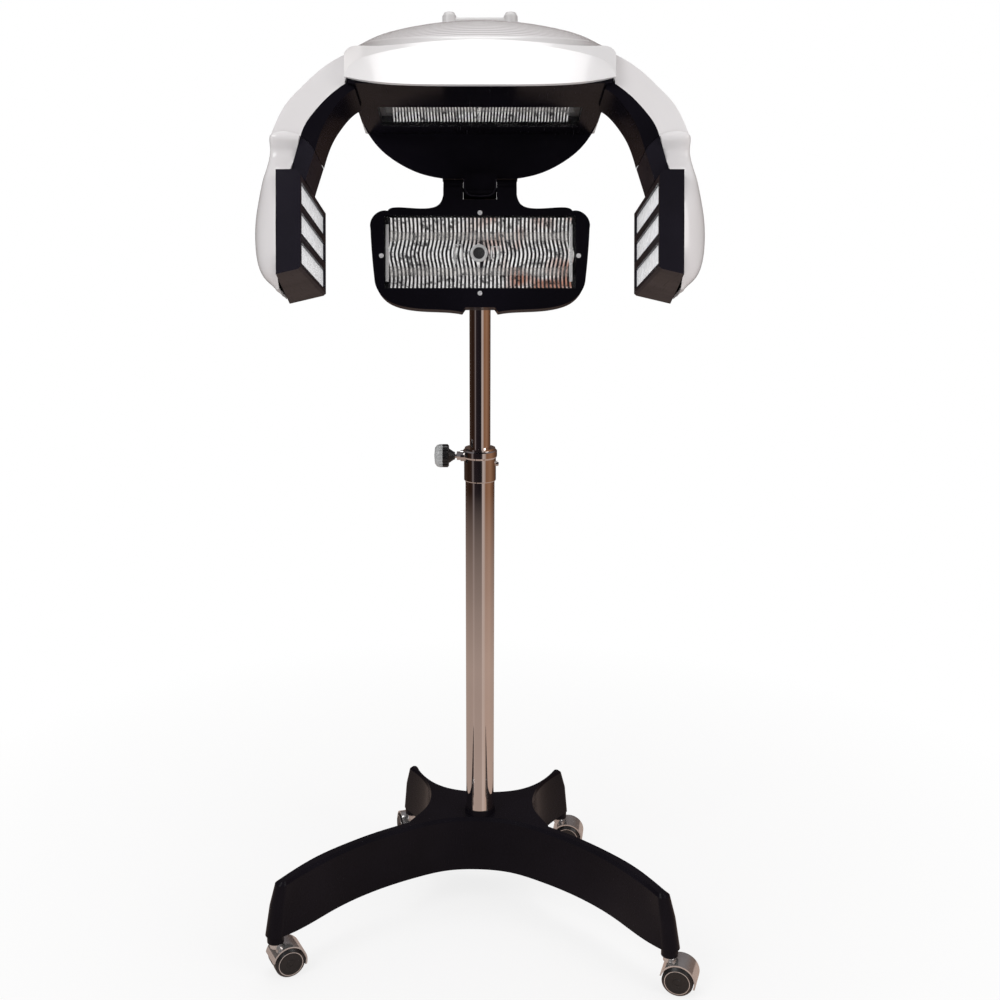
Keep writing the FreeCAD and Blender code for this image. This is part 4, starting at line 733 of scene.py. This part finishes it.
# Both reflector finishes carry painted dark reflections and a painted glow; the nape's also carries a
# painted warm reflection patch, set by its last argument.
flute_metal = reflector_finish("fluted_reflector", 46.0, 0.30, -0.42, 0.9)
slant_metal = reflector_finish("slant_reflector", 60.0, 0.5, -0.50, 0.0)
strip_metal = finish("strip_reflector", (0.95, 0.95, 0.95), (0.84, 0.84, 0.85), (0.25, 0.4),
                     (700.0, 0.0002), metallic=0.2)
lens_glass = pane_finish("lamp_lens_glass", (0.99, 0.99, 0.99), (0.0, 0.02), (0.04, 0.12), 90.0, 0.0001,
                         0.12)
strip_glass = pane_finish("frosted_strip_glass", (0.97, 0.97, 0.97), (0.55, 0.98), (0.25, 0.4), 300.0,
                          0.0002, 0.1)
# Painted glow: the frosted strips emit a light of their own, at strength 0.30, which brightens them.
strip_glow = strip_glass.node_tree.nodes["Principled BSDF"]
strip_glow.inputs["Emission Color"].default_value = (0.95, 0.97, 1.0, 1.0)
strip_glow.inputs["Emission Strength"].default_value = 0.30
quartz = pane_finish("lamp_quartz_glass", (0.97, 0.96, 0.95), (0.03, 0.14), (0.05, 0.12), 200.0, 0.00005,
                     0.35)

node_finishes = {
    "base_shell": base_black, "base_frame": rough_steel, "lower_tube": tube_chrome,
                 "tube_collar": trim_chrome,
    "collar_bush": trim_chrome, "collar_hardware": trim_chrome, "clamp_screw": trim_chrome,
                 "clamp_knob": knob_look,
    "mast_glide": matt_black, "upper_tube": tube_chrome, "mast_plug": bright_steel,
                 "tilt_block": bright_steel,
    "tilt_bracket": bright_steel, "tilt_hardware": bright_steel, "head_frame": rough_steel,
                 "hood_cover": cover_white,
    "hood_shell": black_gloss, "hood_reflector": strip_metal, "hood_lamps": quartz, "hood_lens": lens_glass,
    "rear_handle": handle_grey, "control_board": board_green, "mains_inlet": matt_black,
                 "console_panel": window_black,
    "console_button_1": key_grey, "console_button_2": key_grey, "switch_rocker": matt_black,
    "nape_frame": black_gloss, "nape_back": case_black, "nape_reflector": strip_metal, "nape_lamps": quartz,
    "nape_lens": lens_glass, "nape_pin": case_black,
}
for side in ("left", "right"):
    for part, look in (("arm_cover", white_gloss), ("arm_liner", black_gloss),
                       ("arm_strap", bright_steel), ("pod_cap", white_gloss),
                       ("pod_case", case_black), ("pod_pin", bright_steel), ("pod_lenses", strip_glass),
                       ("pod_reflector", strip_metal), ("pod_lamps", quartz)):
        node_finishes["%s_%s" % (part, side)] = look
for corner in ("front_left", "front_right", "rear_left", "rear_right"):
    node_finishes["caster_fender_" + corner] = caster_chrome
    node_finishes["caster_wheels_" + corner] = tyre_black

for name, look in node_finishes.items():
    node = nodes[name]
    node.data.materials.clear()
    node.data.materials.append(look)


# ------------------------------------------------------------ modelling helpers
def clear_pick():
    if bpy.context.object and bpy.context.object.mode != "OBJECT":
        bpy.ops.object.mode_set(mode="OBJECT")
    bpy.ops.object.select_all(action="DESELECT")


def seal(piece, name, look, body):
    """Names a finished piece, gives it its finish and lets it ride on its body."""
    piece.name = name
    piece.data.name = name
    piece.data.materials.clear()
    piece.data.materials.append(look)
    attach(piece, body)
    return piece


def bake(piece):
    """Puts a piece's place, turn and size into its mesh."""
    clear_pick()
    piece.select_set(True)
    bpy.context.view_layer.objects.active = piece
    bpy.ops.object.transform_apply(location=True, rotation=True, scale=True)
    return piece


def to_head(piece):
    """Moves a piece drawn in the head's own frame to the head's rest pose."""
    piece.rotation_euler = (-HEAD_PITCH, 0.0, 0.0)
    piece.location = HEAD_PIVOT
    return bake(piece)


def block(size, place, turn=(0.0, 0.0, 0.0)):
    clear_pick()
    bpy.ops.mesh.primitive_cube_add(size=1.0, location=[v * MM for v in place], rotation=turn)
    piece = bpy.context.object
    piece.scale = [v * MM for v in size]
    return bake(piece)


def bevelled(piece, width, segments=2):
    clear_pick()
    piece.select_set(True)
    bpy.context.view_layer.objects.active = piece
    bevel = piece.modifiers.new("bevel", "BEVEL")
    bevel.width = width * MM
    bevel.segments = segments
    bevel.limit_method = "ANGLE"
    bpy.ops.object.modifier_apply(modifier=bevel.name)
    bpy.ops.object.shade_smooth_by_angle(angle=math.radians(40))
    return piece


def joined(pieces):
    clear_pick()
    for piece in pieces:
        piece.select_set(True)
    bpy.context.view_layer.objects.active = pieces[0]
    bpy.ops.object.join()
    return bpy.context.object


def pick_points(piece, test):
    """Selects the vertices that pass a test and nothing else, and enters edit mode."""
    clear_pick()
    piece.select_set(True)
    bpy.context.view_layer.objects.active = piece
    bpy.ops.object.mode_set(mode="EDIT")
    bpy.ops.mesh.select_mode(type="VERT")
    bpy.ops.mesh.select_all(action="DESELECT")
    bpy.ops.object.mode_set(mode="OBJECT")
    for vertex in piece.data.vertices:
        vertex.select = test(vertex)
    bpy.ops.object.mode_set(mode="EDIT")


def pick_faces(piece, test):
    clear_pick()
    piece.select_set(True)
    bpy.context.view_layer.objects.active = piece
    bpy.ops.object.mode_set(mode="EDIT")
    bpy.ops.mesh.select_mode(type="FACE")
    bpy.ops.mesh.select_all(action="DESELECT")
    bpy.ops.object.mode_set(mode="OBJECT")
    for face in piece.data.polygons:
        face.select = test(face)
    bpy.ops.object.mode_set(mode="EDIT")


def recessed_disc(radius, depth, rim, sink, place, turn, sides=40):
    """Round boss with a raised rim: a cylinder whose top face is inset and pushed in."""
    clear_pick()
    bpy.ops.mesh.primitive_cylinder_add(vertices=sides, radius=radius * MM, depth=depth * MM)
    piece = bpy.context.object
    pick_faces(piece, lambda face: face.normal.z > 0.9)
    bpy.ops.mesh.inset(thickness=rim * MM, depth=0.0)
    bpy.ops.mesh.extrude_region_move(TRANSFORM_OT_translate={"value": (0.0, 0.0, -sink * MM)})
    bpy.ops.object.mode_set(mode="OBJECT")
    bevelled(piece, 0.25 * min(rim, 2.0), 2)
    piece.rotation_euler = turn
    piece.location = [v * MM for v in place]
    return bake(piece)


# ------------------------------------------------------------ lamp panels
def fluted_sheet(half, depth_of, rows, columns, span, lean, bulge):
    """Pressed reflector: rows follow the troughs, every second column is a crest, and the columns bend.

    Drawn flat with its front up (+Z): x along the lamps, y across them."""
    clear_pick()
    bpy.ops.mesh.primitive_grid_add(x_subdivisions=columns, y_subdivisions=rows, size=2.0)
    sheet = bpy.context.object
    sheet.scale = (half * MM, span / 2 * MM, 1.0)
    bake(sheet)
    pitch = 2 * half / columns * MM
    pick_points(sheet, lambda vertex: round((vertex.co.x + half * MM) / pitch) % 2 == 1)
    bpy.ops.transform.translate(value=(0.0, 0.0, FLUTE_HEIGHT * MM))
    height = span / rows * MM
    for row in range(rows + 1):
        level = -span / 2 * MM + row * height
        share = row / rows
        pick_points(sheet, lambda vertex: abs(vertex.co.y - level) < 0.2 * height)
        bpy.ops.transform.translate(value=(0.0, 0.0, -depth_of(share) * MM))
        push = bulge * math.exp(-((share - 0.5) / 0.16) ** 2) + lean * (share - 0.5)
        for side in (-1, 1):
            if abs(push) > 0.01:
                pick_points(sheet,
                            lambda vertex: (abs(vertex.co.y - level) < 0.2 * height
                                            and vertex.co.x * side > 0.5 * pitch))
                bpy.ops.transform.translate(value=(side * push * MM, 0.0, 0.0))
    clear_pick()
    sheet.select_set(True)
    bpy.context.view_layer.objects.active = sheet
    thick = sheet.modifiers.new("thickness", "SOLIDIFY")
    thick.thickness = SHEET_THICKNESS * MM
    thick.offset = -1.0
    bpy.ops.object.modifier_apply(modifier=thick.name)
    bpy.ops.object.shade_smooth_by_angle(angle=math.radians(75))
    return sheet


def two_troughs(share, deep, ridge):
    side = abs(2 * share - 1)
    if side > 0.5:
        return deep * max(math.sin(math.pi * (1 - side)), 0.0) ** 0.6
    return ridge + (deep - ridge) * math.sin(math.pi * (1 - side))


def wire_frame(points, radius):
    """Bent wire or raised lip along straight runs: a curve with a round section, turned into a mesh."""
    clear_pick()
    line = bpy.data.curves.new("wire", "CURVE")
    line.dimensions = "3D"
    run = line.splines.new("POLY")
    run.points.add(len(points) - 1)
    for spot, place in zip(run.points, points):
        spot.co = [v * MM for v in place] + [1.0]
    line.bevel_depth = radius * MM
    line.bevel_resolution = 2
    line.use_fill_caps = True
    piece = bpy.data.objects.new("wire", line)
    bpy.context.scene.collection.objects.link(piece)
    piece.select_set(True)
    bpy.context.view_layer.objects.active = piece
    bpy.ops.object.convert(target="MESH")
    bpy.ops.object.shade_smooth_by_angle(angle=math.radians(40))
    return bpy.context.object


def nape_panel():
    sheet = fluted_sheet(SHEET_HALF, lambda share: two_troughs(share, 18.0, 10.0), 24, 92, 104.0, 0.0, 4.2)
    sheet.rotation_euler = PANEL_FRONT_TURN
    sheet.location = (0.0, -0.0538, -0.2075)
    to_head(bake(sheet))
    seal(sheet, "nape_fluted_sheet", flute_metal, "nape_lamp")
    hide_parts("nape_reflector")
    hub = recessed_disc(13.2, 5.0, 4.2, 3.6, (-1.5, -46.5, -206.5), PANEL_FRONT_TURN)
    seal(to_head(hub), "nape_centre_ring", bright_metal, "nape_lamp")
    # A matt black disc inside the ring, as painted shade of the hole at its centre.
    hole_shade_disc = recessed_disc(8.6, 1.6, 2.0, 0.6, (-1.5, -47.6, -206.5), PANEL_FRONT_TURN)
    seal(to_head(hole_shade_disc), "nape_centre_hole_shade", matt_black, "nape_lamp")
    clips = []
    for x0, x1, top, foot in ((-37.7, -27.1, -194.0, -222.5), (17.2, 28.4, -197.0, -216.0)):
        clips.append(wire_frame([(x0, -47.5, foot), (x0, -47.5, top), (x1, -47.5, top),
                                 (x1, -47.5, foot)], 1.1))
    seal(to_head(joined(clips)), "nape_lamp_clips", bright_metal, "nape_lamp")
    bars = []
    for x in (-139.5, 136.5):
        bars.append(bevelled(block((5.0, 3.0, 86.0), (x, -53.0, -207.5)), 0.8))
    seal(to_head(joined(bars)), "nape_end_bars", bright_metal, "nape_lamp")
    heads = []
    for x, z in ((0.0, -149.0), (-147.5, -213.0), (147.5, -213.0), (0.0, -269.0)):
        heads.append(recessed_disc(3.5, 2.4, 1.9, 1.0, (x, -62.4, z), PANEL_FRONT_TURN, 24))
    seal(to_head(joined(heads)), "nape_screws", screw_zinc, "nape_lamp")
    back = []
    for x, z in ((-140.0, -160.0), (140.0, -160.0), (-136.0, -262.0), (136.0, -262.0)):
        back.append(recessed_disc(3.2, 2.0, 1.6, 0.9, (x, -22.3, z), PANEL_BACK_TURN, 24))
    seal(to_head(joined(back)), "nape_rear_screws", screw_zinc, "nape_lamp")


def neck_latch():
    lip = wire_frame([(-24.0, -57.2, -98.0), (-23.2, -57.2, -112.0), (-20.0, -57.2, -119.0),
                      (-13.0, -57.2, -122.4),
                      (0.0, -57.2, -123.2), (13.0, -57.2, -122.4), (20.0, -57.2, -119.0), (23.2, -57.2,
                                                                                           -112.0),
                      (24.0, -57.2, -98.0)], 1.3)
    seal(to_head(lip), "neck_latch_lip", case_black, "nape_lamp")


def hood_lamp_sheet():
    sheet = fluted_sheet(SHEET_HALF, lambda share: two_troughs(share, 28.0, 20.0), 16, 120, 98.0, 17.0, 0.0)
    sheet.rotation_euler = (math.radians(180), 0.0, 0.0)
    sheet.location = (0.0, -0.136, -0.0195)
    to_head(bake(sheet))
    seal(sheet, "hood_fluted_sheet", slant_metal, "head")
    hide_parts("hood_reflector")


bright_metal = finish("bright_clip_metal", (0.92, 0.92, 0.92), (0.80, 0.80, 0.80), (0.2, 0.34),
                      (700.0, 0.00006), metallic=0.3)
def pod_vents(side, sign):
    """Black blocks deep in the six slots of a lamp pod's outer side, as painted shade inside the slots."""
    shade_blocks = []
    for i in range(VENT_COUNT):
        shade_blocks.append(bevelled(block((12.0, 66.0, 3.2), (sign * 289.0, -240.0, VENT_TOP - VENT_PITCH * i)),
                              0.5))
    seal(to_head(joined(shade_blocks)), "pod_vent_shade_blocks_" + side, case_black, "pod_" + side)


nape_panel()
neck_latch()
pod_vents("left", -1)
pod_vents("right", 1)
hood_lamp_sheet()


# ------------------------------------------------------------ casters
CASTERS = {
    "front_left": (-315.0, -252.0, 120.0),
    "front_right": (315.0, -252.0, 75.0),
    "rear_left": (-141.0, 188.0, 200.0),
    "rear_right": (141.0, 188.0, 85.0),
}
BASE_TURN = math.radians(-3.3)


def caster_trim(corner):
    """Bright ring and dark hub cap on both outer wheel faces of one caster."""
    x, y, heading = CASTERS[corner]
    turn = math.radians(heading)
    cx = x + math.sin(turn) * WHEEL_TRAIL
    cy = y - math.cos(turn) * WHEEL_TRAIL
    wx = cx * math.cos(BASE_TURN) - cy * math.sin(BASE_TURN)
    wy = cx * math.sin(BASE_TURN) + cy * math.cos(BASE_TURN)
    spin = turn + BASE_TURN
    rings = []
    hubs = []
    for side in (-1, 1):
        reach = side * WHEEL_FACE
        spot = (wx + math.cos(spin) * reach, wy + math.sin(spin) * reach, AXLE_HEIGHT)
        face = (0.0, math.radians(90) * side, spin)
        rings.append(recessed_disc(20.6, 1.6, 1.5, 0.9, spot, face))
        spot = (wx + math.cos(spin) * (reach + side * 0.5), wy + math.sin(spin) * (reach + side * 0.5),
                AXLE_HEIGHT)
        hubs.append(recessed_disc(19.0, 1.2, 3.4, 0.5, spot, face, 48))
    seal(joined(rings), "caster_ring_" + corner, caster_chrome, "wheel_" + corner)
    seal(joined(hubs), "caster_hub_" + corner, tyre_black, "wheel_" + corner)


for corner in CASTERS:
    caster_trim(corner)


# ------------------------------------------------------------ back of the head
def console_details():
    rings = []
    for x in (22.0, 44.0):
        rings.append(recessed_disc(8.2, 0.8, 1.4, 0.5, (x, 81.2, 20.0), PANEL_BACK_TURN))
    seal(to_head(joined(rings)), "console_key_rings", handle_grey, "head")
    glass = bevelled(block((56.0, 0.8, 32.0), (-25.0, 80.7, 20.0)), 0.3)
    seal(to_head(glass), "console_display", display_green, "head")


display_green = finish("display_film", (0.10, 0.13, 0.11), (0.07, 0.09, 0.08), (0.12, 0.2),
                       (500.0, 0.00003), coat=0.3)
console_details()
